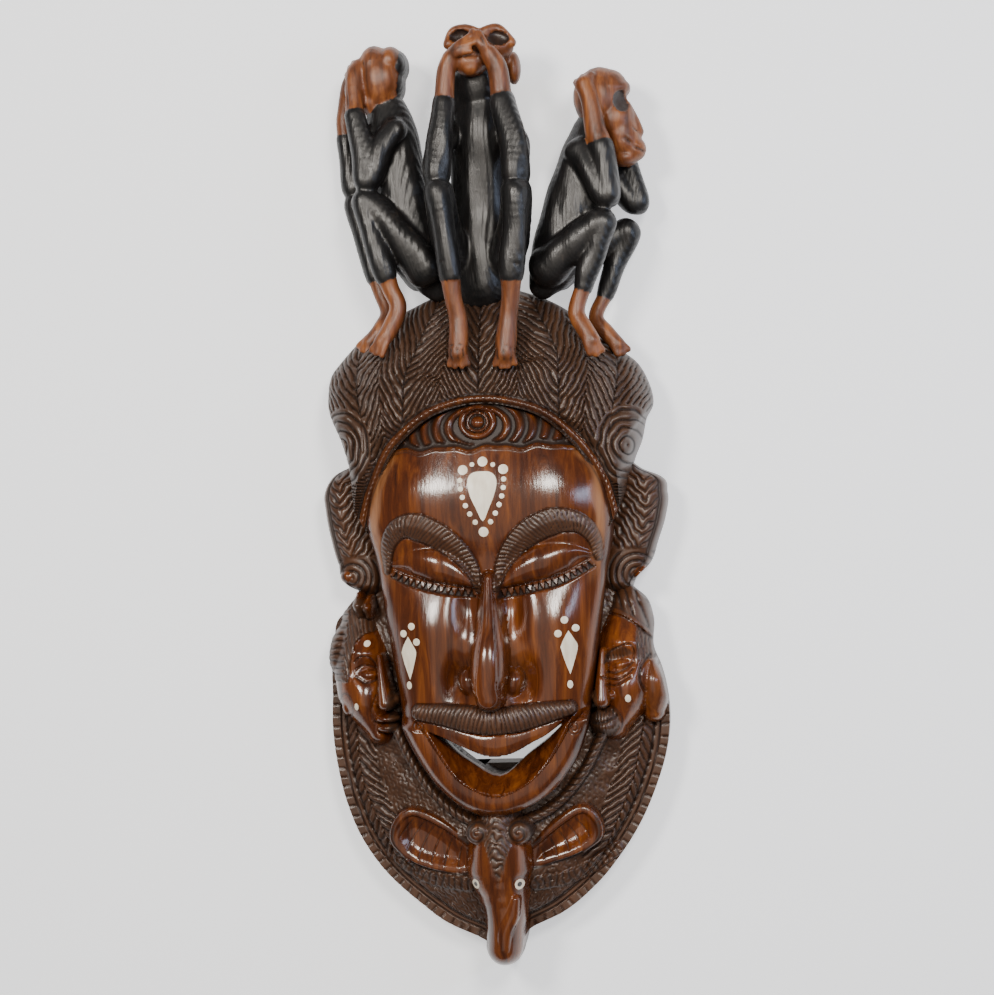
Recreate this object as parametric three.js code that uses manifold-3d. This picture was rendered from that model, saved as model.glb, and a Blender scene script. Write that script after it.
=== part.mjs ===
import * as THREE from 'three';
import { mergeGeometries, mergeVertices } from 'three/addons/utils/BufferGeometryUtils.js';
import Module from 'manifold-3d';

const wasm = await Module();
wasm.setup();

// A carved mask lying on its flat back. Millimetres. +Z is out of the face, +Y is up the mask
// towards the three monkeys, +X is to the viewer's right. The middle of the forehead is near x 0, y 0.

// Hair, the dome above the face
const HAIR_TOP = 174;
const HAIR_BOTTOM = 8;
const HAIR_RIM_Z = 28;
const HAIR_CREST_Z = 86;
const HAIR_LEFT = [[8, -112], [30, -116], [57, -124], [87, -133], [104, -130], [117, -120], [136, -102],
  [157, -62], [166, -42], [174, -14]];
const HAIR_RIGHT = [[8, 112], [30, 120], [57, 127], [80, 134], [104, 124], [115, 112], [141, 80],
  [157, 57], [168, 30], [174, 2]];

// Face with the frontlet over it
const FACE_TOP = 77;
const FACE_BOTTOM = -256;
const FACE_EDGE_Z = 68;
const FACE_LEFT = [[-256, -8], [-248, -24], [-236, -40], [-216, -56], [-189, -71], [-153, -77], [-96, -85],
  [-47, -92], [-15, -98], [9, -93], [29, -82], [46, -70], [64, -49], [77, -10]];
const FACE_RIGHT = [[-256, 2], [-250, 20], [-239, 41], [-218, 61], [-192, 73], [-156, 80], [-101, 88],
  [-61, 94], [-29, 100], [-5, 99], [19, 91], [43, 74], [63, 51], [77, 10]];
const FACE_MIDLINE = [[-256, 80], [-236, 92], [-200, 96], [-165, 100], [-120, 97], [-72, 96], [-30, 101],
  [5, 101], [45, 91], [77, 82]];
const SOCKET_DEPTH = 9;
const CHEEK_SWELL = 4;

// Collar, the shield shape round the chin
const COLLAR_TOP = -112;
const COLLAR_BOTTOM = -364;
const COLLAR_EDGE_Z = 27;
const COLLAR_CHIN_Z = 60;
const COLLAR_RIM = 5;
const COLLAR_LEFT = [[-364, -14], [-350, -45], [-331, -71], [-308, -96], [-280, -116], [-248, -129],
  [-216, -136], [-184, -139], [-157, -138], [-112, -122]];
const COLLAR_RIGHT = [[-364, 2], [-341, 46], [-319, 74], [-295, 95], [-266, 114], [-240, 126],
  [-213, 135], [-186, 139], [-164, 138], [-141, 134], [-112, 118]];

// Hollow cut in from the back, and the mouth cut through to it
const HOLLOW_TOP = 86;
const HOLLOW_BOTTOM = -218;
const HOLLOW_DEPTH = 76;
const HOLLOW_HALF_WIDTHS = [[-218, 32], [-190, 52], [-120, 65], [-40, 72], [30, 66], [66, 46], [86, 22]];
const MOUTH_BACK_Z = 28;
const MOUTH_UPPER_EDGE = [[-49, -187], [-24, -198], [2, -206], [30, -197], [57, -182]];
const MOUTH_LOWER_EDGE = [[50, -198], [38, -213], [23, -225], [3, -232], [-14, -228], [-28, -218], [-40, -204]];

// Inlay of bone, let into pockets
const INLAY_DEPTH = 3;
const INLAY_PROUD = 0.4;
const INLAY_CLEARANCE = 0.3;
const BIG_DOT = 3.9;
const SMALL_DOT = 1.9;
const CHEEK_DOT = 2.9;

const WOOD = { color: 0x5a2a18, roughness: 0.4, metalness: 0 };
const BONE = { color: 0xe8dcc0, roughness: 0.45, metalness: 0 };
const PUPIL = { color: 0x17120f, roughness: 0.4, metalness: 0 };

// Smooth value through stations written as [position, value]
function profile(stations) {
  const positions = stations.map((station) => station[0]);
  const values = stations.map((station) => station[1]);
  const spline = new THREE.CubicInterpolant(positions, values, 1, new Float32Array(1));
  const low = positions[0];
  const high = positions[positions.length - 1];
  return (at) => spline.evaluate(THREE.MathUtils.clamp(at, low, high))[0];
}

function bell(x, y, atX, atY, wideX, wideY) {
  return Math.exp(-(((x - atX) / wideX) ** 2) - (((y - atY) / wideY) ** 2));
}

function solidOf(geometry) {
  const bare = geometry.clone();
  bare.deleteAttribute('normal');
  bare.deleteAttribute('uv');
  const welded = mergeVertices(bare, 1e-4);
  const mesh = new wasm.Mesh({
    numProp: 3,
    vertProperties: new Float32Array(welded.attributes.position.array),
    triVerts: new Uint32Array(welded.index.array),
  });
  return new wasm.Manifold(mesh);
}

function geometryOf(solid) {
  const mesh = solid.getMesh();
  const geometry = new THREE.BufferGeometry();
  geometry.setAttribute('position', new THREE.BufferAttribute(new Float32Array(mesh.vertProperties), 3));
  geometry.setIndex(new THREE.BufferAttribute(new Uint32Array(mesh.triVerts), 1));
  geometry.computeVertexNormals();
  return geometry;
}

function fuse(solids) {
  return solids.reduce((whole, solid) => whole.add(solid));
}

// Slab with a flat underside, side edges that follow two profiles and a carved top
function carvedSlab({ bottom, top, left, right, under, columns, rows, height }) {
  function spot(column, row) {
    const across = (2 * column) / columns - 1;
    const y = THREE.MathUtils.lerp(bottom, top, row / rows);
    const x = THREE.MathUtils.lerp(left(y), right(y), column / columns);
    return [x, y, height(x, y, across)];
  }
  const upper = new THREE.PlaneGeometry(1, 1, columns, rows);
  for (let i = 0; i < upper.attributes.position.count; i += 1) {
    upper.attributes.position.setXYZ(i, ...spot(i % (columns + 1), rows - Math.floor(i / (columns + 1))));
  }
  const rim = [];
  for (let column = 0; column < columns; column += 1) rim.push(spot(column, 0));
  for (let row = 0; row < rows; row += 1) rim.push(spot(columns, row));
  for (let column = columns; column > 0; column -= 1) rim.push(spot(column, rows));
  for (let row = rows; row > 0; row -= 1) rim.push(spot(0, row));
  const wall = new THREE.PlaneGeometry(1, 1, rim.length, 1);
  for (let i = 0; i <= rim.length; i += 1) {
    const [x, y, z] = rim[i % rim.length];
    wall.attributes.position.setXYZ(i, x, y, z);
    wall.attributes.position.setXYZ(i + rim.length + 1, x, y, under);
  }
  const base = new THREE.ShapeGeometry(new THREE.Shape(rim.map(([x, y]) => new THREE.Vector2(x, y))));
  base.translate(0, 0, under);
  const corners = base.index.array;
  for (let i = 0; i < corners.length; i += 3) [corners[i], corners[i + 1]] = [corners[i + 1], corners[i]];
  return solidOf(mergeGeometries([upper, wall, base]));
}

// Rounded, tapering form swept along a path. The half widths belong to the path's points.
// The depth share sets how thick the form is for its width.
function limb(path, halfWidths, sides = 7, rings = 2 * path.length, depthShare = 1) {
  const curve = new THREE.CatmullRomCurve3(path.map((point) => new THREE.Vector3(...point)), false, 'centripetal');
  const width = profile(halfWidths.map((value, i) => [i / (halfWidths.length - 1), value]));
  const geometry = new THREE.SphereGeometry(1, sides, rings);
  const spots = geometry.attributes.position;
  const front = new THREE.Vector3(0, 0, 1);
  for (let i = 0; i < spots.count; i += 1) {
    const ring = Math.round((Math.acos(THREE.MathUtils.clamp(spots.getY(i), -1, 1)) / Math.PI) * rings);
    const along = THREE.MathUtils.clamp((ring - 1) / (rings - 2), 0, 1);
    const tangent = curve.getTangent(along);
    const side = new THREE.Vector3().crossVectors(tangent, front);
    if (side.lengthSq() < 0.02) side.set(1, 0, 0);
    side.normalize();
    const rise = new THREE.Vector3().crossVectors(tangent, side);
    const point = curve.getPoint(along);
    const half = width(along);
    if (ring === 0) {
      point.addScaledVector(tangent, -0.6 * half);
    } else if (ring === rings) {
      point.addScaledVector(tangent, 0.6 * half);
    } else {
      const angle = Math.atan2(spots.getZ(i), spots.getX(i));
      point.addScaledVector(side, Math.cos(angle) * half);
      point.addScaledVector(rise, Math.sin(angle) * half * depthShare);
    }
    spots.setXYZ(i, point.x, point.y, point.z);
  }
  return solidOf(geometry);
}

function ball(at, halfSizes, sides = 8, rings = 6) {
  const geometry = new THREE.SphereGeometry(1, sides, rings);
  geometry.rotateX(Math.PI / 2);
  geometry.scale(...halfSizes);
  geometry.translate(...at);
  return solidOf(geometry);
}

function outlinePrism(points, from, to, divisions) {
  const curve = new THREE.CatmullRomCurve3(points.map(([x, y]) => new THREE.Vector3(x, y, 0)), true);
  const shape = new THREE.Shape(curve.getPoints(divisions).slice(0, -1).map((p) => new THREE.Vector2(p.x, p.y)));
  const geometry = new THREE.ExtrudeGeometry(shape, { depth: to - from, bevelEnabled: false });
  geometry.translate(0, 0, from);
  return solidOf(geometry);
}

// Hair
const hairLeft = profile(HAIR_LEFT);
const hairRight = profile(HAIR_RIGHT);
function hairHeight(x, y, across) {
  const up = THREE.MathUtils.clamp((y - 56) / (HAIR_TOP - 56), 0, 1);
  const dome = Math.sqrt(1 - 0.8 * across * across) * Math.sqrt(1 - 0.94 * up * up);
  return HAIR_RIM_Z + (HAIR_CREST_Z - HAIR_RIM_Z) * dome;
}
const hair = carvedSlab({
  bottom: HAIR_BOTTOM,
  top: HAIR_TOP,
  left: hairLeft,
  right: hairRight,
  under: 0,
  columns: 12,
  rows: 7,
  height: hairHeight,
});

// The plumes of the hair meet in valleys, cut as grooves that run down to the headband
const VALLEYS = [
  [[0, 162], [-1, 125], [-1, 84]],
  [[-36, 160], [-47, 135], [-59, 96], [-60, 72]],
  [[30, 162], [43, 140], [60, 108], [63, 70]],
];
const VALLEY_HALF_WIDTH = 3.2;
const valleys = VALLEYS.map((line) => {
  const path = line.map(([x, y]) => {
    const across = (2 * (x - hairLeft(y))) / (hairRight(y) - hairLeft(y)) - 1;
    return [x, y, hairHeight(x, y, across) + 1];
  });
  return limb(path, path.map(() => VALLEY_HALF_WIDTH), 4, 5);
});

// Face and frontlet
const faceMiddle = profile(FACE_MIDLINE);
function faceHeight(x, y, across) {
  const round = Math.pow(Math.max(1 - Math.abs(across) ** 3.2, 0), 0.6);
  const sockets = bell(x, y, -40, -56, 32, 15) + bell(x, y, 44, -54, 32, 15);
  const cheeks = bell(x, y, -54, -118, 22, 30) + bell(x, y, 58, -116, 22, 30);
  const low = Math.min(FACE_EDGE_Z, faceMiddle(y) - 12);
  return low + (faceMiddle(y) - low) * round - SOCKET_DEPTH * sockets + CHEEK_SWELL * cheeks;
}
const face = carvedSlab({
  bottom: FACE_BOTTOM,
  top: FACE_TOP,
  left: profile(FACE_LEFT),
  right: profile(FACE_RIGHT),
  under: 0,
  columns: 12,
  rows: 17,
  height: faceHeight,
});

const headband = limb(
  [[-98, -3, 72], [-91, 14, 77], [-76, 42, 83], [-49, 66, 87], [0, 79, 88],
    [51, 66, 87], [77, 42, 83], [94, 16, 77], [101, -5, 72]],
  [4.5, 5, 5, 5, 5, 5, 5, 5, 4.5],
  4,
  12,
);

const BOSS = { x: -3, y: 61, z: 84, radius: 16 };
const bossOutline = [[0.01, -8], [1, -8], [0.95, 6], [0.7, 3], [0.5, 8], [0.01, 8]];
const bossGeometry = new THREE.LatheGeometry(
  bossOutline.map(([share, rise]) => new THREE.Vector2(share < 0.02 ? 0 : share * BOSS.radius, rise)),
  10,
);
bossGeometry.rotateX(Math.PI / 2);
bossGeometry.translate(BOSS.x, BOSS.y, BOSS.z);
const boss = solidOf(bossGeometry);

const SLATS_A_SIDE = 4;
const SLAT_PITCH = 11;
const slats = [];
for (const side of [-1, 1]) {
  for (let i = 1; i <= SLATS_A_SIDE; i += 1) {
    const out = BOSS.radius + 1 + (i - 0.5) * SLAT_PITCH;
    const topY = 76 - 0.0068 * out * out;
    const x = side * out;
    slats.push(limb([[x, 44, 86], [x + side * 3, (44 + topY) / 2, 87], [x, topY, 86]], [3, 4, 3], 4, 3));
  }
}

// Brows, closed lids, nose, moustache and lips
const browLeft = limb(
  [[-80, -53, 79], [-77, -36, 84], [-69, -25, 89], [-54, -23, 94], [-36, -30, 98], [-20, -43, 100], [-8, -66, 99]],
  [4, 6, 8, 11, 10, 8, 3],
  4,
  8,
  0.5,
);
const browRight = limb(
  [[87, -47, 79], [84, -34, 84], [75, -24, 89], [59, -22, 94], [40, -28, 98], [24, -40, 100], [10, -64, 99]],
  [4, 6, 8, 11, 10, 8, 3],
  4,
  8,
  0.5,
);
const lidLeft = limb(
  [[-75, -51, 79], [-60, -48, 84], [-42, -52, 87], [-25, -59, 89], [-9, -70, 92]],
  [3, 12, 14, 10, 2],
  6,
  6,
  0.75,
);
const lidRight = limb(
  [[84, -48, 79], [68, -46, 84], [47, -53, 87], [28, -60, 89], [9, -71, 92]],
  [3, 13, 14, 10, 2],
  6,
  6,
  0.75,
);
const nose = limb(
  [[2, -62, 96], [2.5, -95, 101], [2, -125, 106], [1.5, -149, 110], [1, -160, 106]],
  [4, 7, 11, 16, 11],
  7,
  6,
);
const nostrilLeft = ball([-14, -147, 103], [7, 9, 8], 5, 4);
const nostrilRight = ball([16, -148, 103], [7, 9, 8], 5, 4);
const moustacheLeft = limb(
  [[1, -174, 103], [-20, -174, 101], [-40, -169, 95], [-58, -163, 86]],
  [10, 10, 7, 2],
  5,
  5,
  0.7,
);
const moustacheRight = limb(
  [[-1, -174, 103], [22, -173, 101], [45, -169, 95], [65, -163, 86]],
  [10, 10, 7, 2],
  5,
  5,
  0.7,
);
const upperLip = limb(
  [[-50, -184, 86], [-25, -189, 93], [2, -194, 96], [30, -188, 94], [57, -179, 86]],
  [3, 8, 11, 9, 3],
  5,
  6,
  0.7,
);
const lowerLip = limb(
  [[-62, -186, 82], [-50, -211, 86], [-36, -229, 88], [-19, -241, 88], [2, -246, 88],
    [23, -241, 88], [42, -228, 88], [58, -209, 86], [69, -186, 82]],
  [4, 7, 7, 7, 7, 7, 7, 7, 4],
  4,
  10,
);

// Ears
const EAR_FIELDS = [
  { path: [[-122, 20, 24], [-127, 2, 26], [-125, -30, 24], [-117, -66, 22]] },
  { path: [[121, 16, 24], [129, -3, 26], [126, -34, 24], [116, -68, 22]] },
];
const ears = EAR_FIELDS.flatMap(({ path }) => [
  limb(path, [8, 14, 14, 7], 7, 6),
  limb(path.map(([x, y, z]) => [x, y * 0.8 - 6, z + 11]), [2, 5, 5, 2], 4, 4),
]);
const earFoot = [carvedSlab({
  bottom: -126,
  top: 20,
  left: () => -112,
  right: () => 112,
  under: 0,
  columns: 1,
  rows: 1,
  height: () => 26,
})];

// Small heads at the sides of the collar, each looking in towards the chin
function sideHead({ crown, brow, cheek, chin, bridge, tip, mouth }) {
  return [
    limb([crown, brow, cheek, chin], [17, 27, 27, 13], 7, 6),
    limb([bridge, tip], [3, 7], 5, 3),
    limb([[mouth[0] - 9, mouth[1], mouth[2] - 6], mouth, [mouth[0] + 7, mouth[1], mouth[2] - 6]], [2, 4, 2], 4, 3),
  ];
}
const leftHead = sideHead({
  crown: [-115, -94, 34],
  brow: [-110, -124, 36],
  cheek: [-107, -160, 36],
  chin: [-100, -190, 36],
  bridge: [-94, -132, 58],
  tip: [-91, -158, 60],
  mouth: [-94, -176, 57],
});
const rightHead = sideHead({
  crown: [113, -94, 34],
  brow: [104, -122, 36],
  cheek: [103, -158, 36],
  chin: [93, -188, 36],
  bridge: [91, -134, 57],
  tip: [88, -160, 60],
  mouth: [88, -178, 56],
});
const bun = [
  limb([[-124, -84, 30], [-112, -98, 34]], [6, 12], 5, 3),
  limb([[-110, -80, 34], [-106, -96, 38]], [6, 10], 5, 3),
];
const capBand = limb([[82, -110, 54], [102, -104, 66], [122, -112, 48]], [5, 6, 5], 4, 4);
const shellTip = limb([[118, -128, 26], [130, -150, 28], [136, -176, 24]], [7, 9, 3], 5, 4);

// Collar with its raised rim
const collarLeft = profile(COLLAR_LEFT);
const collarRight = profile(COLLAR_RIGHT);
function collarHeight(x, y, across) {
  const outward = Math.abs(across);
  const low = THREE.MathUtils.clamp((y - COLLAR_BOTTOM) / 60, 0, 1);
  const field = COLLAR_EDGE_Z + (COLLAR_CHIN_Z - COLLAR_EDGE_Z) * low * (1 - outward * outward);
  return field + (outward > 0.86 ? COLLAR_RIM : 0);
}
const collar = carvedSlab({
  bottom: COLLAR_BOTTOM,
  top: COLLAR_TOP,
  left: collarLeft,
  right: collarRight,
  under: 0,
  columns: 12,
  rows: 8,
  height: collarHeight,
});
const chinRope = limb(
  [[-76, -196, 48], [-62, -226, 54], [-42, -248, 58], [-22, -260, 60], [2, -264, 60],
    [25, -260, 60], [46, -248, 58], [68, -226, 54], [82, -196, 48]],
  [4, 5, 5, 5, 5, 5, 5, 5, 4],
  4,
  9,
);

// Elephant on the collar's point
const elephantHead = limb(
  [[1, -264, 52], [0, -290, 54], [-1, -318, 52], [-2, -347, 44], [-3, -375, 40]],
  [20, 25, 23, 16, 9],
  7,
  7,
);
const elephantKnobs = [-15, 17].map((x) => ball([x, -267, 72], [9, 9, 9], 6, 4));
const EAR_LEFT = [[-22, -280], [-46, -262], [-70, -251], [-86, -260], [-89, -278], [-76, -295], [-50, -306], [-24, -305]];
const EAR_RIGHT = [[22, -280], [46, -262], [66, -251], [79, -260], [81, -276], [68, -290], [46, -298], [22, -303]];
const elephantEars = [EAR_LEFT, EAR_RIGHT].map((outline) => outlinePrism(outline, 8, 54, 12));
const earRolls = [EAR_LEFT, EAR_RIGHT].map((outline) => limb(
  outline.slice(0, 6).map(([x, y]) => [x, y, 54]),
  [3, 4, 4.5, 4.5, 4, 2],
  4,
  6,
));

// Monkeys, each fused from the same set of limbs
const GIRTH = { seat: 26, waist: 22, chest: 25, neck: 16 };
const ARM = { shoulder: 14, elbow: 12, wrist: 9, hand: 9 };
const LEG = { hip: 18, knee: 14, shin: 10, ankle: 8, foot: 10 };
function monkey({ seat, waist, chest, neck, head, headHalf, muzzle, muzzleHalf, brow, arms, legs, ears: lugs }) {
  const body = [
    limb([seat, waist, chest, neck], [GIRTH.seat, GIRTH.waist, GIRTH.chest, GIRTH.neck], 8, 6, 1.15),
    ball(head, headHalf, 8, 6),
    limb([head, muzzle], [muzzleHalf + 4, muzzleHalf], 6, 3),
    limb(brow, [4, 6, 4], 4, 4),
    ...lugs.map((lug) => ball(lug, [4, 8, 6], 5, 3)),
  ];
  const upper = arms.map(({ shoulder, elbow, wrist, hand }) => limb(
    [shoulder, elbow, wrist, hand],
    [ARM.shoulder, ARM.elbow, ARM.wrist, ARM.hand],
    7,
    5,
  ));
  const lower = legs.map(({ hip, knee, shin, ankle, toe }) => limb(
    [hip, knee, shin, ankle, toe],
    [LEG.hip, LEG.knee, LEG.shin, LEG.ankle, LEG.foot],
    7,
    6,
  ));
  return [...body, ...upper, ...lower];
}

const middleMonkey = monkey({
  seat: [-2, 176, 42],
  waist: [-1, 230, 42],
  chest: [2, 290, 44],
  neck: [4, 322, 50],
  head: [6, 352, 56],
  headHalf: [25, 28, 30],
  muzzle: [0, 342, 84],
  muzzleHalf: 13,
  brow: [[-15, 374, 70], [6, 376, 80], [27, 368, 72]],
  ears: [[-19, 353, 48], [31, 350, 48]],
  arms: [
    { shoulder: [-17, 298, 52], elbow: [-25, 262, 95], wrist: [-19, 318, 88], hand: [-7, 350, 94] },
    { shoulder: [24, 296, 52], elbow: [35, 258, 95], wrist: [26, 318, 86], hand: [14, 349, 93] },
  ],
  legs: [
    { hip: [-16, 184, 48], knee: [-26, 238, 98], shin: [-20, 184, 97], ankle: [-15, 145, 93], toe: [-18, 115, 92] },
    { hip: [14, 184, 48], knee: [37, 235, 98], shin: [32, 180, 97], ankle: [26, 142, 93], toe: [22, 113, 92] },
  ],
});
const leftMonkey = monkey({
  seat: [-42, 176, 44],
  waist: [-51, 234, 44],
  chest: [-66, 290, 45],
  neck: [-74, 318, 45],
  head: [-78, 347, 45],
  headHalf: [25, 27, 27],
  muzzle: [-98, 338, 46],
  muzzleHalf: 11,
  brow: [[-92, 362, 26], [-100, 360, 46], [-90, 362, 66]],
  ears: [[-66, 344, 68]],
  arms: [
    { shoulder: [-68, 298, 62], elbow: [-85, 262, 70], wrist: [-96, 316, 64], hand: [-97, 343, 60] },
    { shoulder: [-76, 298, 30], elbow: [-112, 264, 28], wrist: [-113, 316, 30], hand: [-107, 348, 34] },
  ],
  legs: [
    { hip: [-46, 196, 58], knee: [-88, 243, 68], shin: [-72, 188, 70], ankle: [-60, 155, 68], toe: [-74, 126, 74] },
    { hip: [-52, 196, 32], knee: [-108, 246, 28], shin: [-90, 186, 32], ankle: [-84, 157, 36], toe: [-95, 138, 44] },
  ],
});
const rightMonkey = monkey({
  seat: [56, 172, 44],
  waist: [70, 224, 44],
  chest: [84, 268, 45],
  neck: [94, 292, 45],
  head: [102, 318, 45],
  headHalf: [24, 29, 27],
  muzzle: [124, 281, 45],
  muzzleHalf: 12,
  brow: [[114, 332, 26], [122, 330, 46], [112, 332, 66]],
  ears: [[96, 304, 66]],
  arms: [
    { shoulder: [84, 272, 62], elbow: [106, 238, 72], wrist: [102, 284, 72], hand: [91, 318, 70] },
    { shoulder: [92, 270, 30], elbow: [129, 232, 28], wrist: [124, 270, 28], hand: [108, 306, 24] },
  ],
  legs: [
    { hip: [58, 178, 58], knee: [101, 212, 72], shin: [86, 172, 72], ankle: [76, 146, 72], toe: [86, 120, 76] },
    { hip: [62, 176, 32], knee: [117, 208, 30], shin: [97, 170, 34], ankle: [89, 144, 38], toe: [107, 118, 44] },
  ],
});

const hollow = carvedSlab({
  bottom: HOLLOW_BOTTOM,
  top: HOLLOW_TOP,
  left: (y) => 2 - profile(HOLLOW_HALF_WIDTHS)(y),
  right: (y) => 2 + profile(HOLLOW_HALF_WIDTHS)(y),
  under: -2,
  columns: 8,
  rows: 8,
  height: (x, y, across) => {
    const end = Math.sqrt(Math.max(1 - ((y + 60) / 190) ** 2, 0.04));
    return 8 + (HOLLOW_DEPTH - 8) * end * Math.sqrt(Math.max(1 - across * across, 0));
  },
});
const mouth = outlinePrism([...MOUTH_UPPER_EDGE, ...MOUTH_LOWER_EDGE], MOUTH_BACK_Z, 140, 18);

const carved = fuse([
  hair.subtract(fuse(valleys)),
  face,
  headband,
  boss,
  ...slats,
  browLeft,
  browRight,
  lidLeft,
  lidRight,
  nose,
  nostrilLeft,
  nostrilRight,
  moustacheLeft,
  moustacheRight,
  upperLip,
  lowerLip,
  ...ears,
  ...earFoot,
  collar,
  chinRope,
  ...leftHead,
  ...rightHead,
  ...bun,
  capBand,
  shellTip,
  elephantHead,
  ...elephantKnobs,
  ...elephantEars,
  ...earRolls,
  ...middleMonkey,
  ...leftMonkey,
  ...rightMonkey,
]).subtract(hollow).subtract(mouth);

// Inlays. Each is a low prism square to the wood, in a pocket that is wider and deeper by the clearance.
const probe = new THREE.Mesh(geometryOf(carved), new THREE.MeshStandardMaterial());
const ray = new THREE.Raycaster();
function surfaceHeight(x, y) {
  ray.set(new THREE.Vector3(x, y, 400), new THREE.Vector3(0, 0, -1));
  return ray.intersectObject(probe)[0].point.z;
}
function placeOn(geometry, x, y, reach) {
  const slopeX = (surfaceHeight(x + reach, y) - surfaceHeight(x - reach, y)) / (2 * reach);
  const slopeY = (surfaceHeight(x, y + reach) - surfaceHeight(x, y - reach)) / (2 * reach);
  const out = new THREE.Vector3(-slopeX, -slopeY, 1).normalize();
  const turn = new THREE.Quaternion().setFromUnitVectors(new THREE.Vector3(0, 0, 1), out);
  geometry.applyQuaternion(turn);
  geometry.translate(x, y, surfaceHeight(x, y));
  return geometry;
}
function roundShape(halfX, halfY, sides, grow) {
  const shape = new THREE.Shape();
  shape.setFromPoints(Array.from({ length: sides }, (_, i) => {
    const angle = (2 * Math.PI * (i + 0.5)) / sides;
    return new THREE.Vector2(Math.cos(angle) * (halfX + grow), Math.sin(angle) * (halfY + grow));
  }));
  return shape;
}
function kiteShape(halfX, up, down, shoulder, grow) {
  const points = [[0, up + grow * 1.5], [-halfX - grow, shoulder], [-halfX * 0.9 - grow, shoulder - down * 0.25],
    [0, -down - grow * 2.5], [halfX * 0.9 + grow, shoulder - down * 0.25], [halfX + grow, shoulder]];
  return new THREE.Shape(points.map(([x, y]) => new THREE.Vector2(x, y)));
}

const inlays = [];
const pockets = [];
function addInlay(name, x, y, reach, shapeFor, material = BONE, core = null) {
  const shape = shapeFor(0);
  if (core) shape.holes.push(new THREE.Path(core(INLAY_CLEARANCE).getPoints()));
  const piece = new THREE.ExtrudeGeometry(shape, { depth: INLAY_DEPTH + INLAY_PROUD, bevelEnabled: false });
  piece.translate(0, 0, -INLAY_DEPTH);
  inlays.push({ name, material, solid: solidOf(placeOn(piece, x, y, reach)) });
  if (core) {
    const pupil = new THREE.ExtrudeGeometry(core(0), { depth: INLAY_DEPTH + INLAY_PROUD, bevelEnabled: false });
    pupil.translate(0, 0, -INLAY_DEPTH);
    inlays.push({ name: `${name}_pupil`, material: PUPIL, solid: solidOf(placeOn(pupil, x, y, reach)) });
  }
  const pocketDepth = INLAY_DEPTH + INLAY_CLEARANCE;
  const pocket = new THREE.ExtrudeGeometry(shapeFor(INLAY_CLEARANCE), { depth: pocketDepth + 6, bevelEnabled: false });
  pocket.translate(0, 0, -pocketDepth);
  pockets.push(solidOf(placeOn(pocket, x, y, reach)));
}
const dot = (radius) => (grow) => roundShape(radius, radius, radius > 3.5 ? 8 : 6, grow);

addInlay('brow_drop', 0.5, 4, 6, (grow) => kiteShape(11.8, 16.8, 23, 6.5, grow));
addInlay('brow_dot_top', 1.2, 28.6, 3, dot(BIG_DOT));
addInlay('brow_dot_left', -14.6, 22.4, 3, dot(BIG_DOT));
addInlay('brow_dot_right', 17.6, 22, 3, dot(BIG_DOT));
addInlay('brow_dot_foot', 0.6, -27, 3, dot(BIG_DOT));
const BEADS_A_SIDE = 6;
for (let i = 0; i < BEADS_A_SIDE; i += 1) {
  const down = i / (BEADS_A_SIDE - 1);
  const spread = 17.2 - 11.4 * down * down;
  const y = 14.2 - 33.4 * down;
  addInlay(`brow_bead_left_${i + 1}`, 0.2 - spread, y, 2, dot(SMALL_DOT));
  addInlay(`brow_bead_right_${i + 1}`, 0.8 + spread, y, 2, dot(SMALL_DOT));
}
addInlay('brow_bead_over_left', -7.2, 26.6, 2, dot(SMALL_DOT));
addInlay('brow_bead_over_right', 9.4, 26, 2, dot(SMALL_DOT));

const CHEEKS = [
  { side: 'left', x: -64.4, y: -124, dots: [[3.3, 23.4], [-3.9, 17.6], [7.3, 11]], foot: [-1, -24] },
  { side: 'right', x: 64.4, y: -122.4, dots: [[-2.8, 23.8], [5.5, 17], [-8.1, 13.2]], foot: [-0.4, -27.6] },
];
for (const { side, x, y, dots, foot } of CHEEKS) {
  addInlay(`cheek_kite_${side}`, x, y, 5, (grow) => kiteShape(6.7, 15, 18.6, 2.6, grow));
  dots.forEach(([acrossX, upY], i) => addInlay(`cheek_dot_${side}_${i + 1}`, x + acrossX, y + upY, 2, dot(CHEEK_DOT)));
  addInlay(`cheek_drop_${side}`, x + foot[0], y + foot[1], 2, (grow) => roundShape(2.2, 3.2, 8, grow));
}
addInlay('side_left_brow_dot', -103.4, -115.4, 2, dot(2.6));
addInlay('side_left_cheek_dot', -112.4, -166, 2, (grow) => roundShape(1.8, 2.9, 6, grow));
addInlay('side_right_cheek_dot', 108, -164.2, 2, (grow) => roundShape(2.4, 3.1, 6, grow));
addInlay('elephant_eye_left', -19, -309.7, 2, (grow) => roundShape(3.4, 4.2, 8, grow), BONE,
  (grow) => roundShape(1.6, 2, 6, grow));
addInlay('elephant_eye_right', 16.6, -310.2, 2, (grow) => roundShape(3.4, 4.2, 8, grow), BONE,
  (grow) => roundShape(1.6, 2, 6, grow));

const mask = carved.subtract(fuse(pockets));

const group = new THREE.Group();
function addNode(name, solid, look) {
  const mesh = new THREE.Mesh(geometryOf(solid), new THREE.MeshStandardMaterial({ ...look }));
  mesh.name = name;
  group.add(mesh);
}
addNode('mask', mask, WOOD);
inlays.forEach(({ name, solid, material }) => addNode(name, solid, material));

// The origin sits under the middle of the bounding box, on the surface the mask lies on
const box = new THREE.Box3().setFromObject(group);
const middle = box.getCenter(new THREE.Vector3());
group.children.forEach((mesh) => mesh.geometry.translate(-middle.x, -middle.y, -box.min.z));

export default group;
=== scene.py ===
import bmesh
import bpy
import numpy as np
from math import cos, pi, radians, sin, sqrt
from mathutils import Matrix, Vector


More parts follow.
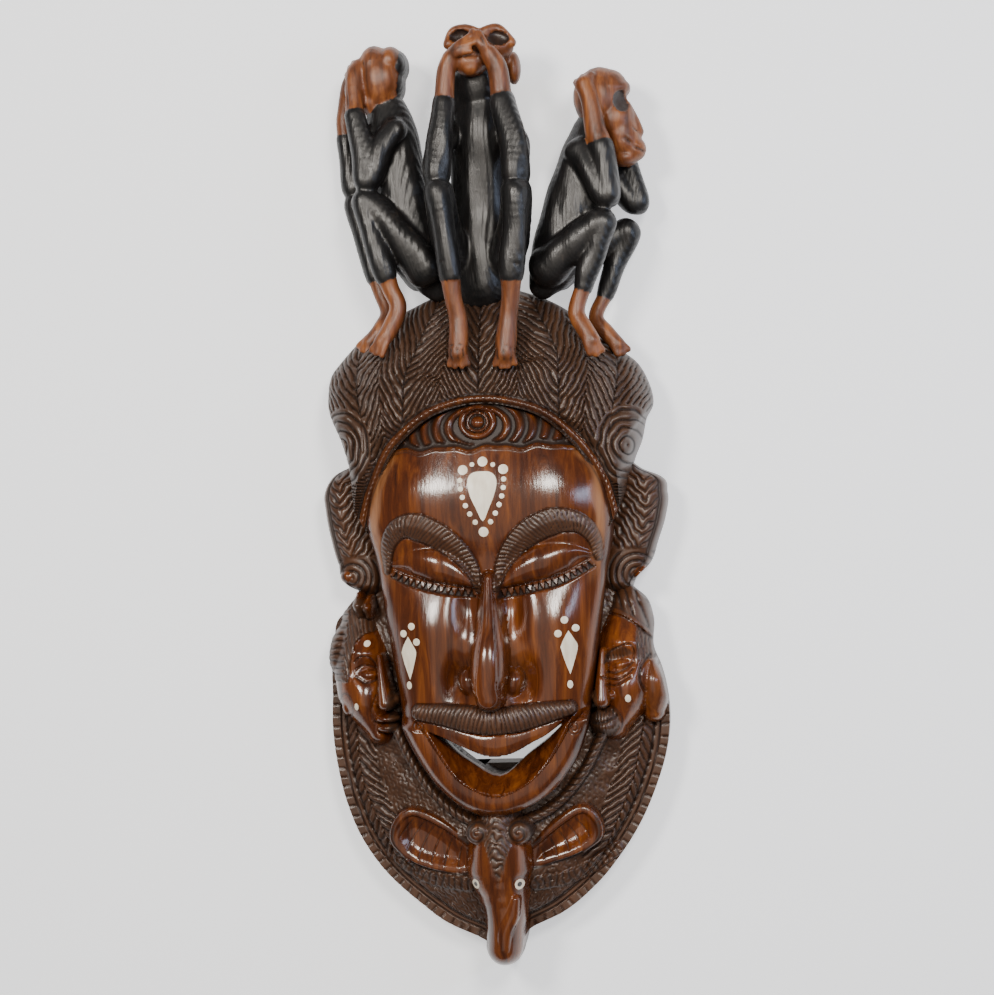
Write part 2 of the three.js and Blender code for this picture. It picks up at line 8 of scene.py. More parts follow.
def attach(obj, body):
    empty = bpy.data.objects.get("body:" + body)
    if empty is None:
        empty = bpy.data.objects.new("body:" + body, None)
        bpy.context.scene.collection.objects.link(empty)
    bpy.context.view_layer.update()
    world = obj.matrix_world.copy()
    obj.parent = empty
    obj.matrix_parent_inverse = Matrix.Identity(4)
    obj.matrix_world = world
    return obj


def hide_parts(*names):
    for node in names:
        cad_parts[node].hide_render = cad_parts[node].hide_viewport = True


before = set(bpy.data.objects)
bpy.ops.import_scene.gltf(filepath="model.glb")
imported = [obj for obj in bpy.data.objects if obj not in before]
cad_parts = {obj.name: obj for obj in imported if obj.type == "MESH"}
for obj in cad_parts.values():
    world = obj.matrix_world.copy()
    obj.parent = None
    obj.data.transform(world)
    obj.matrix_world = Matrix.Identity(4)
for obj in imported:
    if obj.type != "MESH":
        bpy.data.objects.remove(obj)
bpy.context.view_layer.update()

# The carving is laid out in millimetres, with the forehead's drop near x 0, y 0.
# The CAD row's origin is under the middle of its box, which is this point of the layout.
MIDDLE_X = 1.593
MIDDLE_Y = 0.800
MM = 0.001

# Height that stands for no surface here, well under the floor
NOTHING = -200.0


# Measuring helpers
def smooth_through(stations, at):
    """Value at each position of a smooth line through [position, value] stations."""
    places, values = np.array(stations, dtype=float).T
    at = np.clip(at, places[0], places[-1])
    slopes = np.gradient(values, places)
    i = np.clip(np.searchsorted(places, at) - 1, 0, len(places) - 2)
    gap = places[i + 1] - places[i]
    t = (at - places[i]) / gap
    return ((2 * t**3 - 3 * t**2 + 1) * values[i] + (t**3 - 2 * t**2 + t) * gap * slopes[i]
            + (3 * t**2 - 2 * t**3) * values[i + 1] + (t**3 - t**2) * gap * slopes[i + 1])


def curve_through(points, steps=6):
    """Smooth curve through a few points, as a denser path."""
    p = np.array(points, dtype=float)
    p = np.vstack([2 * p[0] - p[1], p, 2 * p[-1] - p[-2]])
    out = []
    for a, b, c, d in zip(p[:-3], p[1:-2], p[2:-1], p[3:]):
        for t in np.arange(steps) / steps:
            out.append(0.5 * (2 * b + (c - a) * t + (2 * a - 5 * b + 4 * c - d) * t**2
                              + (3 * b - a - 3 * c + d) * t**3))
    out.append(p[-2])
    return np.array(out)


def beside(x, y, points, steps=6):
    """For each spot: distance to a path, signed side, length along it, and share of its length."""
    path = curve_through(points, steps)[:, :2]
    legs = np.hypot(*(path[1:] - path[:-1]).T)
    run = np.concatenate([[0], np.cumsum(legs)])
    best = np.full(x.shape, 1e9)
    side = np.zeros(x.shape)
    along = np.zeros(x.shape)
    for k, leg in enumerate(legs):
        ax, ay = path[k]
        ux, uy = (path[k + 1] - path[k]) / max(leg, 1e-9)
        t = (x - ax) * ux + (y - ay) * uy
        tc = np.clip(t, 0, leg)
        far = np.hypot(x - ax - tc * ux, y - ay - tc * uy)
        closer = far < best
        best = np.where(closer, far, best)
        side = np.where(closer, np.sign((y - ay) * ux - (x - ax) * uy), side)
        reach = np.where((k == 0) & (t < 0) | (k == len(legs) - 1) & (t > leg), t, tc)
        along = np.where(closer, run[k] + reach, along)
    return best, side, along, np.clip(along / run[-1], 0, 1)


def bell(x, y, at_x, at_y, wide_x, wide_y):
    """Soft swelling, 1 high in its middle."""
    return np.exp(-(((x - at_x) / wide_x) ** 2) - (((y - at_y) / wide_y) ** 2))


def over(a, b, blend):
    """The higher of two carved surfaces, with the corner between them filled to a radius."""
    h = np.clip(0.5 + 0.5 * (a - b) / blend, 0, 1)
    return b + (a - b) * h + blend * h * (1 - h)


def step_up(value, low, high):
    """Smooth rise from 0 at low to 1 at high."""
    t = np.clip((value - low) / (high - low), 0, 1)
    return t * t * (3 - 2 * t)


def roll(x, y, points, halves, crests, thick, steps=6):
    """Top of a rounded form lying along a path."""
    far, _, _, share = beside(x, y, points, steps)
    spots = np.linspace(0, 1, len(halves))
    half = np.interp(share, spots, halves)
    crest = smooth_through(list(zip(np.linspace(0, 1, len(crests)), crests)), share)
    r = far / np.maximum(half, 0.1)
    top = crest - thick * (1 - np.sqrt(np.clip(1 - r**2, 0, 1)))
    return np.where(r < 1, top, NOTHING)


def mound(x, y, at_x, at_y, half_x, half_y, base, rise, turn=0.0):
    """Top of an egg-shaped form."""
    c, s = cos(turn), sin(turn)
    u = ((x - at_x) * c + (y - at_y) * s) / half_x
    v = (-(x - at_x) * s + (y - at_y) * c) / half_y
    r = u**2 + v**2
    return np.where(r < 1, base + rise * np.sqrt(np.clip(1 - r, 0, 1)), NOTHING)


def gouge(phase, sharp=0.5):
    """Depth share, 0 to 1, of V cuts spaced one apart."""
    t = np.abs((phase % 1.0) - 0.5) * 2
    return np.clip((t - sharp) / (1 - sharp), 0, 1)


def strand(phase):
    """Round strands side by side: how deep the valley is here, and how much painted shade its bottom gets."""
    t = np.abs((phase % 1.0) - 0.5) * 2
    return t**2.4, np.clip((t - 0.66) / 0.34, 0, 1)


def line_cut(far, half):
    """Depth share of a cut line, by the distance from its middle."""
    return np.clip(1 - far / half, 0, 1)


def wobble(x, y, seed, size):
    """Slow, repeatable unevenness of hand work, about -1 to 1."""
    rng = np.random.default_rng(seed)
    total = np.zeros(np.shape(x))
    for _ in range(5):
        turn = rng.uniform(0, 2 * pi)
        scale = size * rng.uniform(0.6, 1.6)
        total += np.sin((x * cos(turn) + y * sin(turn)) / scale * 2 * pi + rng.uniform(0, 2 * pi))
    return total / 2.6


# Lines the carver drew
ARCH = [(-103, -22), (-98, -3), (-91, 15), (-76, 43), (-49, 66), (-24, 76), (0, 79), (24, 76), (51, 66),
        (77, 43), (94, 16), (101, -5), (104, -22)]
HAIR_RIM = [(-113, 4), (-116, 28), (-118, 40), (-124, 57), (-132, 74), (-133, 87), (-130, 104), (-121, 116),
            (-102, 136), (-87, 146), (-62, 157), (-42, 166), (-18, 173), (0, 174), (30, 168), (57, 157),
            (80, 141), (112, 115), (124, 104), (132, 87), (134, 72), (128, 60), (124, 43), (117, 26),
            (112, 4)]
SPINES = [
    [(0, 172), (-1, 135), (-2, 86)],
    [(-30, 172), (-40, 152), (-54, 118), (-62, 98), (-64, 62)],
    [(32, 172), (46, 147), (60, 117), (62, 97), (62, 60)],
    [(-88, 150), (-100, 126), (-104, 98), (-98, 62), (-97, 40)],
    [(84, 148), (102, 124), (108, 98), (103, 62), (100, 40)],
]
CURL_CENTRES = [(-116, 44), (115, 38)]

FACE_TOP, FACE_BOTTOM, FACE_EDGE_Z = 80, -256, 66
FACE_LEFT = [(-256, -8), (-248, -24), (-236, -40), (-216, -56), (-189, -71), (-153, -77), (-96, -85),
             (-47, -92), (-15, -99), (9, -95), (29, -85), (46, -73), (64, -53), (80, -10)]
FACE_RIGHT = [(-256, 2), (-250, 20), (-239, 41), (-218, 61), (-192, 73), (-156, 80), (-101, 88),
              (-61, 94), (-29, 100), (-5, 100), (19, 94), (43, 78), (63, 56), (80, 10)]
FACE_MIDLINE = [(-256, 74), (-246, 84), (-236, 90), (-200, 95), (-165, 98), (-120, 95), (-72, 95), (-30, 101),
                (5, 101), (45, 92), (80, 84)]
BROWS = [
    [(-81, -56), (-79, -37), (-70, -24), (-56, -21), (-37, -29), (-20, -43), (-10, -58), (-6, -74)],
    [(89, -50), (86, -34), (76, -23), (59, -20), (41, -26), (25, -38), (14, -54), (9, -73)],
]
LIDS = [
    [(-76, -51), (-60, -48), (-42, -51), (-24, -59), (-8, -70)],
    [(84, -47), (68, -45), (47, -51), (28, -59), (9, -71)],
]
LASHES = [
    [(-77, -55), (-62, -62), (-44, -67), (-25, -71), (-7, -73)],
    [(85, -51), (60, -64), (36, -70), (20, -73), (7, -74)],
]
NOSE = [(2.6, -64), (2.8, -84), (2.9, -102), (1.9, -133), (0.6, -148), (1.6, -157)]
MOUSTACHE = [(-57, -169.4), (-38, -171.6), (-16, -175), (1.5, -177.4), (22, -175.4), (43, -171.8),
             (62.5, -168.6)]
MOUSTACHE_HALVES = [6.8, 8.8, 10.8, 10.2, 10.6, 8.8, 6.0]
UPPER_LIP = [(-50, -183), (-25, -188), (0, -194), (28, -189), (58, -180)]
LIP_LINE = [(-64, -176), (-50, -185), (-40, -189), (-24, -197), (0, -205), (16, -203), (32, -195), (50, -185),
            (57, -178), (74, -170)]
LIP_RIDGE = [(-66, -172), (-54, -186), (-42, -205), (-30, -222), (-14, -233), (4, -238), (26, -229),
             (42, -215), (53, -200), (63, -184), (76, -170)]
CHIN_LINE = [(-76, -180), (-66, -204), (-50, -230), (-28, -250), (-3, -258), (24, -253), (46, -240),
             (66, -216), (80, -188)]
MOUTH_CUT = [(-47, -188), (-24, -199), (1, -207), (31, -197), (55, -182), (44, -194), (25, -208), (3, -224),
             (-22, -211), (-38, -198)]
JAW_TOP = [(-256, -174), (-60, -174), (0, -190), (70, -168), (256, -168)]
BOSS_X, BOSS_Y, BOSS_RADIUS = -2.9, 60.4, 15.4

COLLAR_LEFT = [(-380, -3), (-377.5, -8), (-371, -12.5), (-364, -16), (-360, -23), (-350, -45), (-331, -71),
               (-308, -96), (-280, -116), (-248, -129), (-216, -136), (-184, -139), (-157, -138),
               (-140, -138), (-113, -136), (-95, -131), (-88, -123), (-78, -115), (-68, -108)]
COLLAR_RIGHT = [(-380, 5), (-378, 9), (-371, 13), (-363, 15.5), (-355, 18), (-341, 46), (-319, 74),
                (-295, 95), (-266, 114), (-240, 126), (-213, 135), (-186, 139), (-164, 138), (-141, 133),
                (-128, 128), (-101, 128), (-85, 122), (-76, 112), (-68, 106)]
COLLAR_BOTTOM, COLLAR_TOP = -380, -68
COLLAR_CHIN_Z, COLLAR_EDGE_Z = 58, 27
COLLAR_FANS = [[(-118, -176), (-116, -221), (-104, -258), (-86, -296)],
               [(121, -172), (110, -225), (98, -257), (80, -296)]]
ELEPHANT_EARS = [
    [(-24, -282), (-46, -264), (-70, -253), (-84, -261), (-88, -277), (-75, -294), (-50, -303), (-26, -303)],
    [(24, -284), (46, -265), (66, -253), (78, -261), (80, -276), (67, -288), (46, -296), (24, -300)],
]


def across_of(x, y, left, right):
    """Place between two edges, -1 at the left one and 1 at the right one."""
    lo = smooth_through(left, y)
    hi = smooth_through(right, y)
    return np.clip(2 * (x - lo) / (hi - lo) - 1, -1, 1)


# Hair
def plumes(x, y, spines, pitch, lean):
    """Strands running into the nearest spine from both sides: depth, painted shade in the valleys, distance
    from the spine.
    """
    near = np.full(x.shape, 1e9)
    deep = np.zeros(x.shape)
    dark = np.zeros(x.shape)
    for k, spine in enumerate(spines):
        far, side, along, _ = beside(x, y, spine)
        bend = far + 0.018 * far**2
        uneven = 0.20 * wobble(x, y, 40 + k, 24) + 0.07 * wobble(x, y, 60 + k, 7)
        phase = (along + lean * bend) / pitch + uneven + 0.37 * (side > 0)
        d, c = strand(phase)
        fine = strand(phase * 3.0 + 0.3 * wobble(x, y, 80 + k, 9))[1]
        closer = far < near
        deep = np.where(closer, d + 0.16 * fine, deep)
        dark = np.where(closer, np.maximum(c, 0.22 * fine), dark)
        near = np.where(closer, far, near)
    return deep, dark, near


CORD_CREST = [(0, 71), (0.2, 80), (0.5, 91.5), (0.8, 80), (1, 71)]


def hair_surface(x, y, out):
    """Height, cut and polish of the hair, by place and by share of the way out to its rim."""
    z = 28 + 56 * (1 - np.clip(out, 0, 1) ** 2.0) ** 0.62
    far, side, along, share = beside(x, y, ARCH)
    z = np.minimum(z, smooth_through(CORD_CREST, share) - 3.5 + 0.9 * np.maximum(far - 4, 0))
    deep, cut, near = plumes(x, y, SPINES, 9.2, 1.25)
    z += 4.2 * step_up(near, 0, 18) - 1.2 * line_cut(near, 1.1)
    cut = np.maximum(cut, 0.8 * line_cut(near, 0.9))
    for cx, cy in CURL_CENTRES:
        r = np.hypot(x - cx, (y - cy) * 0.8)
        inside = 1 - step_up(r, 25, 27)
        d, c = strand(r / 5.6 + 0.16 * wobble(x, y, 71, 15))
        deep = np.where(inside > 0.5, d, deep)
        cut = np.where(inside > 0.5, c, cut)
        z += 2.2 * inside * (1 - (r / 27) ** 2)
    fade = step_up(1 - out, 0.0, 0.05) * step_up(far, 3.2, 6)
    z += 0.5 * wobble(x, y, 90, 13) * fade
    z -= 2.9 * deep * (0.3 + 0.7 * fade) * step_up(far, 2.9, 3.4)
    cut = cut * step_up(far, 3.0, 3.6)
    cord = smooth_through(CORD_CREST, share) + 0.25 * np.sin((along + far * side) / 4.6 * 2 * pi)
    cord -= 6.0 * (1 - np.sqrt(np.clip(1 - (far / 3.0) ** 2, 0, 1)))
    on = (far < 3.0).astype(float)
    z = np.where(on > 0, np.maximum(cord, z - 2), z)
    ditch = line_cut(np.abs(far - 3.6), 1.2)
    z -= 1.3 * ditch
    cut = np.maximum(cut, ditch * 0.9)
    return z, np.clip(cut, 0, 1), on * 0.62


# Face
def face_surface(x, y):
    """Height, cut and polish of the face, from the chin to the frontlet."""
    across = across_of(x, y, FACE_LEFT, FACE_RIGHT)
    mid = smooth_through(FACE_MIDLINE, y)
    low = np.minimum(FACE_EDGE_Z, mid - 12)
    z = low + (mid - low) * np.clip(1 - np.abs(across) ** 3.2, 0, 1) ** 0.6
    z -= 9 * (bell(x, y, -40, -52, 36, 22) + bell(x, y, 44, -50, 36, 22))
    z -= 9 * (bell(x, y, -15, -86, 11, 24) + bell(x, y, 19, -86, 11, 24))
    z += 5 * (bell(x, y, -50, -108, 26, 24) + bell(x, y, 56, -106, 26, 24))
    z -= 8 * (bell(x, y, -26, -146, 11, 22) + bell(x, y, 29, -147, 11, 22))
    cut = np.zeros(x.shape)
    polish = np.ones(x.shape)

    # mouth and jaw: the lip slopes in from its ridge to the opening
    below = step_up(smooth_through(LIP_LINE, x) - y, 0, 1.2)
    far, side, _, _ = beside(x, y, LIP_RIDGE)
    inner = 93 - 1.75 * far
    outer = 93.5 - 0.012 * far**2 - 0.1 * far
    chin_far = beside(x, y, CHIN_LINE)[0]
    drop = np.clip(1 - chin_far / 12, 0, 1) ** 2 * 13
    jaw = np.where(side > 0, inner, outer - drop)
    corner = step_up(smooth_through(JAW_TOP, x) - y, 0, 12)
    z = np.where(side > 0, z * (1 - below) + np.minimum(inner, z) * below, z * (1 - corner) + jaw * corner)

    # upper lip and moustache
    lip = roll(x, y, UPPER_LIP, [3, 9, 15, 9, 3], [88, 96, 100, 96, 88], 12)
    above = 1 - below
    z = np.where(above > 0.5, over(z, lip, 2.0), z)
    brush = roll(x, y, MOUSTACHE, MOUSTACHE_HALVES, [96.5, 100.5, 104, 105.5, 104, 100.5, 96.5], 6)
    far, side, along, share = beside(x, y, MOUSTACHE)
    lean = np.tanh((x - 2) / 14) * (0.18 * side * far + 0.012 * far**2)
    deep, dark = strand((along + lean) / 3.5 + 0.14 * wobble(x, y, 3, 14))
    hairy = step_up(brush - z, -0.8, 0.6)
    z = over(z, brush, 0.7) - 1.2 * deep * hairy
    half = np.interp(share, np.linspace(0, 1, 7), MOUSTACHE_HALVES)
    border = line_cut(np.abs(far - half), 0.9)
    z -= 1.0 * border
    cut = np.maximum(cut, np.maximum(0.85 * dark * hairy, 0.9 * border))
    polish *= 1 - 0.8 * hairy
    for cx, cy, hand in ((-58, -181, 1), (66, -184, -1)):
        r = np.hypot(x - cx, y - cy)
        turn = gouge(r / 3.0 + hand * 0.16 * np.arctan2(y - cy, x - cx), 0.5) * step_up(6.5 - r, 0, 1)
        z -= 0.9 * turn
        cut = np.maximum(cut, 0.8 * turn)

    # nose, with painted shade in the dips beside its wings
    for cx, cy in ((-21, -141), (23.5, -143)):
        dip = bell(x, y, cx, cy + 1, 10, 13)
        z -= 5.5 * dip
        cut = np.maximum(cut, 0.55 * dip**1.5)
    wings = np.maximum(mound(x, y, -16.5, -146, 9, 12.5, 86, 14, 0.2),
                       mound(x, y, 19, -147, 9, 12.5, 86, 14, -0.2))
    z = over(z, wings, 4.0)
    cut *= 1 - 0.8 * step_up(wings - z, -3, 0)
    bridge = roll(x, y, NOSE, [8, 10, 12.5, 15.5, 15.5, 12.5], [102, 107, 113, 120.6, 124, 122], 24, 8)
    z = over(z, bridge, 2.0)
    ridge = roll(x, y, NOSE, [3, 4, 5, 6.5, 8, 8], [102.5, 108.5, 115, 122.4, 124.7, 122], 3, 8)
    z = over(z, ridge, 1.5)

    # closed lids, brows and lashes
    for lid, brow, lash in zip(LIDS, BROWS, LASHES):
        form = roll(x, y, lid, [4, 15, 17, 13, 4], [84, 93, 98, 97, 94], 17)
        z = over(z, form, 1.4)
        far, side, along, share = beside(x, y, brow)
        half = np.interp(share, np.linspace(0, 1, 8), [3, 6, 8.5, 11, 10.5, 8.5, 6, 2])
        band = step_up(half - far, -0.6, 1.0)
        z = z + band * (2.4 + 1.6 * np.clip(1 - far / half, 0, 1))
        outward = far * side * np.sign(brow[0][0])
        deep, strokes = strand((along + 0.35 * outward) / 3.3 + 0.18 * wobble(x, y, 5, 13))
        z -= 1.1 * deep * band
        edge = line_cut(np.abs(far - half), 1.0)
        z -= 1.0 * edge
        cut = np.maximum(cut, np.maximum(0.85 * strokes * band, 0.8 * edge))
        polish *= 1 - 0.8 * band
        far, side, along, share = beside(x, y, lash)
        down = np.where(side * np.sign(lash[-1][0] - lash[0][0]) < 0, far, -far)
        inside = (share > 0.02) & (share < 0.98)
        tooth = 1 - 2 * np.abs((along / 5.2) % 1.0 - 0.5)
        tip = np.where(inside & (down > -0.5) & (down < 7), step_up(tooth * 7.2 - down, 0, 1.0), 0)
        shelf = np.where(inside & (down > -0.5) & (down < 7.5), step_up(7.5 - down, 0, 2), 0)
        z += 2.5 * tip - 1.8 * shelf
        # The gaps between the lash teeth are stained, and darkened further as painted shade
        cut = np.maximum(cut, shelf * (1 - tip))
        polish *= 1 - 0.45 * shelf
        groove = np.where(inside, line_cut(np.abs(down + 1.6), 0.9), 0)
        z -= 0.9 * groove
        cut = np.maximum(cut, groove * 0.8)

    # frontlet: boss, crescents, wavy lines and the cord of the arch
    far, side, _, _ = beside(x, y, ARCH)
    wavy = 40 + 1.3 * np.sin(x / 6.1) + 0.7 * np.sin(x / 3.3 + 1)
    field = step_up(y - wavy, 0, 1) * step_up(far, 3.6, 4.6) * (side < 0)
    z -= 3.0 * field
    reach = np.hypot(x - BOSS_X, (y - 56.5) * 1.5)
    bar = (reach - 18.5) / 10.3
    inside = (bar > 0) & (bar < np.where(x < BOSS_X, 4.5, 5.6))
    swell = np.clip(1 - np.abs((bar % 1.0) - 0.5) / 0.36, 0, 1) ** 0.5 * inside * field
    swell *= step_up(y - wavy, 3.0, 5.5) * step_up(far, 4.5, 6.5)
    z += 4.2 * swell
    ring = np.hypot(x - BOSS_X, (y - BOSS_Y) * 1.1)
    boss = (4.4 * np.clip(1 - ((ring - 12.6) / 2.9) ** 2, 0, 1) ** 0.5
            + 2.6 * np.clip(1 - ((ring - 8.0) / 1.4) ** 2, 0, 1) ** 0.5
            + 4.6 * np.sqrt(np.clip(1 - (ring / 5.4) ** 2, 0, 1)))
    z += boss * (ring < BOSS_RADIUS + 0.3)
    raised = np.maximum(swell, np.clip(boss / 3, 0, 1) * (ring < BOSS_RADIUS + 0.3))
    cut = np.maximum(cut, field * (1 - raised) * 0.75)
    polish *= 1 - field * (1 - raised)
    twine = line_cut(np.abs(y - wavy + 1.6), 1.1) + line_cut(np.abs(y - wavy - 1.2), 1.1)
    twine *= step_up(far, 4, 6) * (side < 0)
    z += 1.1 * twine
    cut = np.maximum(cut, 0.6 * line_cut(np.abs(y - wavy + 3.4), 0.8) * (side < 0) * (far > 4))
    polish *= 1 - 0.5 * twine
    low_edge = line_cut(np.abs(far - 4.2), 1.4) * (side < 0)
    cut = np.maximum(cut, 0.8 * low_edge)
    # The face darkens at its outer edge, where it meets the hair: painted shade
    edge = step_up(np.abs(across), 0.955, 0.985)
    cut = np.maximum(cut, 0.5 * edge)
    return z, np.clip(cut, 0, 1), np.clip(polish, 0, 1)


def pale_temples(x, y):
    """Where the face's sides are left as paler, dull wood."""
    across = np.abs(across_of(x, y, FACE_LEFT, FACE_RIGHT))
    beside_brows = step_up(y, -75, -45) * (1 - step_up(y, 22, 44))
    strip = step_up(across + 0.02 * wobble(x, y, 33, 30), 0.84, 0.90) * (1 - step_up(across, 0.94, 0.96))
    return face_surface(x, y)[2] * strip * beside_brows


# Collar, side heads and elephant
SIDE_HEADS = [
    dict(sign=-1, skull=[(-113, -92), (-111, -122), (-107, -158), (-97, -188)], halves=[16, 25, 26, 14],
         nose=[(-92.5, -126), (-90, -146), (-87.5, -163)], wings=[(-94, -161.5), (-81.5, -161)],
         lid=(-103, -141, 9, 4.6, 0.05), chin=(-94, -194),
         creases=[([(-112.5, -142), (-104, -147), (-94.5, -144)], 1.5),
                  ([(-113, -136), (-106, -132.8), (-96, -136)], 0.9),
                  ([(-114, -130), (-108, -125.5), (-101, -127), (-97, -134)], 0.9),
                  ([(-99, -178.6), (-93, -180.6), (-88.5, -179.6), (-84, -180.6), (-78.5, -178)], 1.2),
                  ([(-95, -167), (-88, -170), (-80, -166.5)], 1.3),
                  ([(-96, -187), (-89, -189.5), (-82, -187)], 1.0),
                  ([(-96.5, -157), (-100, -167), (-100.5, -177)], 0.8)]),
    dict(sign=1, skull=[(110, -90), (106, -118), (105, -156), (95, -188)], halves=[18, 25, 26, 14],
         nose=[(88.5, -126), (87.5, -148), (87, -165)], wings=[(94.5, -161.5), (80.5, -162)],
         lid=(103, -137.8, 9, 4.4, 0.3), chin=(90, -196),
         creases=[([(90, -136), (94, -128), (102, -123), (110, -120.8), (113.5, -126), (113, -134)], 1.0),
                  ([(92, -143), (98, -143.8), (106, -141), (112.5, -136)], 1.3),
                  ([(87.4, -146), (97, -149), (106, -146.4), (113, -141)], 1.0),
                  ([(91, -152.5), (99, -153.4), (110.5, -147)], 0.9),
                  ([(78.5, -183.6), (88, -183), (98, -178.6)], 1.3)]),
]
LEFT_HEAD_HAIRLINE = [(-256, -101), (-192, -101), (-170, -118), (-141, -117), (-122, -114), (-111, -108.5),
                      (-106.5, -100), (-104.5, -88), (-103, -60), (-60, -60)]
LEFT_HEAD_PLAIT = [(-121, -103), (-126, -116), (-128.5, -131), (-127, -141)]
SMALL_BEARD = (88.5, -183.2, 13.2)


def side_head(x, y, z, cut, polish, head):
    """Lays one small side head over the collar, with its hair or cap, lips or beard, and creases."""
    sign = head["sign"]
    form = roll(x, y, head["skull"], head["halves"], [48, 62, 66, 58], 34, 8)
    on = step_up(form - z, -1, 1)
    z = over(z, form, 1.2)
    polish = np.maximum(polish, on)
    cut = cut * (1 - on)
    lid_x, lid_y, long, high, tilt = head["lid"]
    z -= 6.5 * bell(x, y, lid_x - sign, lid_y + 4, 12, 8)
    z += 2.6 * bell(x, y, lid_x, lid_y + 18, 14, 6) + 3.2 * bell(x, y, lid_x + 4 * sign, lid_y - 23, 12, 13)
    for wx, wy in head["wings"]:
        z = over(z, mound(x, y, wx, wy, 5.4, 4.8, 56, 12), 1.5)
    z = over(z, roll(x, y, head["nose"], [3.2, 4.8, 7], [67, 73, 78.5], 12), 1.5)
    z = over(z, mound(x, y, lid_x, lid_y, long, high, 54, 10, tilt), 1.2)
    z += 3.0 * bell(x, y, head["chin"][0], head["chin"][1], 8, 6)
    if sign < 0:
        z = over(z, mound(x, y, -88.5, -176.6, 11, 4.4, 54, 15, 0.0), 1.2)
        z = over(z, mound(x, y, -88.5, -184, 9.5, 4.8, 54, 14.5, 0.0), 1.2)
        edge = smooth_through(LEFT_HEAD_HAIRLINE, y)
        hair = on * step_up(edge - x, 0, 1.2) * step_up(y + 147, 0, 2)
        plait = roll(x, y, LEFT_HEAD_PLAIT, [9, 11.5, 12, 9], [46, 51, 52, 44], 22)
        hair = np.maximum(hair, step_up(plait - z, -1, 1) * step_up(-x - 112, 0, 2))
        z = over(z, plait, 1.5)
        plaits = step_up(-x - 121.5 + 0.06 * (y + 130), 0, 2)
        deep_row, dark_row = strand(y / 5.4 + 0.12 * wobble(x, y, 9, 10))
        deep_lock, dark_lock = strand((x + 0.22 * (y + 104)) / 3.4 + 0.15 * wobble(x, y, 10, 12))
        deep = deep_row * plaits + 0.7 * deep_lock * (1 - plaits)
        strokes = (dark_row * plaits + dark_lock * (1 - plaits)) * hair
        z += 2.6 * hair - 2.2 * deep * hair
        ear = mound(x, y, -122.5, -166, 5.5, 9.5, 44, 12)
        z = over(z, ear, 1.0)
        ear_edge = np.abs(np.hypot((x + 122.5) / 6.4, (y + 166) / 10.5) - 1) * 7
        strokes = np.maximum(strokes, 0.8 * line_cut(ear_edge, 1.3))
        for points in ([(-110, -76), (-110, -84), (-109, -92)], [(-102, -79), (-102.5, -86), (-102, -93)]):
            knot = roll(x, y, points, [3.2, 5.0, 3.4], [54, 64, 57], 12)
            top = step_up(knot - z, -0.5, 0.5)
            z = over(z, knot, 1.2)
            polish = np.maximum(polish, top)
            strokes = strokes * (1 - top)
    else:
        hem = y + 96.5 + 0.017 * np.maximum(x - 92, 0) ** 2
        cap = on * step_up(hem, 0, 1.2)
        deep, ribs = strand((x + 0.35 * (y + 90)) / 7.4 + 0.1 * wobble(x, y, 19, 12))
        z += 3.2 * cap - 2.4 * deep * cap * step_up(hem, 4.5, 6.5)
        ribs = ribs * cap * step_up(hem, 4.5, 5.5)
        hem_lines = np.maximum(line_cut(np.abs(hem + 0.8), 1.1), 0.8 * line_cut(np.abs(hem - 5), 0.8))
        strokes = np.maximum(ribs, on * hem_lines)
        temple = on * step_up(x - 115, 0, 1.5) * (1 - cap) * step_up(y + 136, 0, 3)
        deep, locks = strand((x + 0.1 * y) / 2.9 + 0.15 * wobble(x, y, 22, 9))
        z -= 1.0 * deep * temple
        strokes = np.maximum(strokes, locks * temple)
        beard_x, beard_y, beard_half = SMALL_BEARD
        z = over(z, mound(x, y, beard_x, beard_y, beard_half, beard_half, 52, 16), 1.5)
        away = np.hypot(x - beard_x, y - beard_y)
        beard = step_up(beard_half - away, 0, 1.2)
        deep, brush = strand((x - beard_x + 0.12 * (y - beard_y)) / 2.6 + 0.1 * wobble(x, y, 23, 8))
        z -= 1.0 * deep * beard
        lip = beard * bell(x, y, 89, -187.5, 8, 3)
        z += 2.2 * lip
        beard_edge = line_cut(np.abs(away - beard_half - 0.6), 1.0) * on
        strokes = np.maximum(strokes, np.maximum(0.85 * brush * beard * (1 - lip), beard_edge))
        lashes = on * step_up(12.5 - np.hypot((x - 102) / 1.05, (y + 134) * 1.05), 0, 1.5)
        lashes = lashes * step_up(y - lid_y - 5 - 0.3 * (x - lid_x), 0, 1.2)
        deep, fine = strand((x + 0.1 * y) / 2.7)
        z -= 0.9 * deep * lashes
        strokes = np.maximum(strokes, 0.8 * fine * lashes)
        hair = np.maximum(np.maximum(np.where(hem > 5, 1.0, 0.7) * cap, temple),
                          np.maximum(beard, 0.8 * lashes))
    lines = np.zeros(x.shape)
    for path, width in head["creases"]:
        lines = np.maximum(lines, line_cut(beside(x, y, path)[0], width))
    z -= 1.7 * lines
    cut = np.maximum(cut, np.maximum(strokes, 0.9 * lines))
    polish = polish * (1 - 0.85 * hair)
    return z, cut, polish


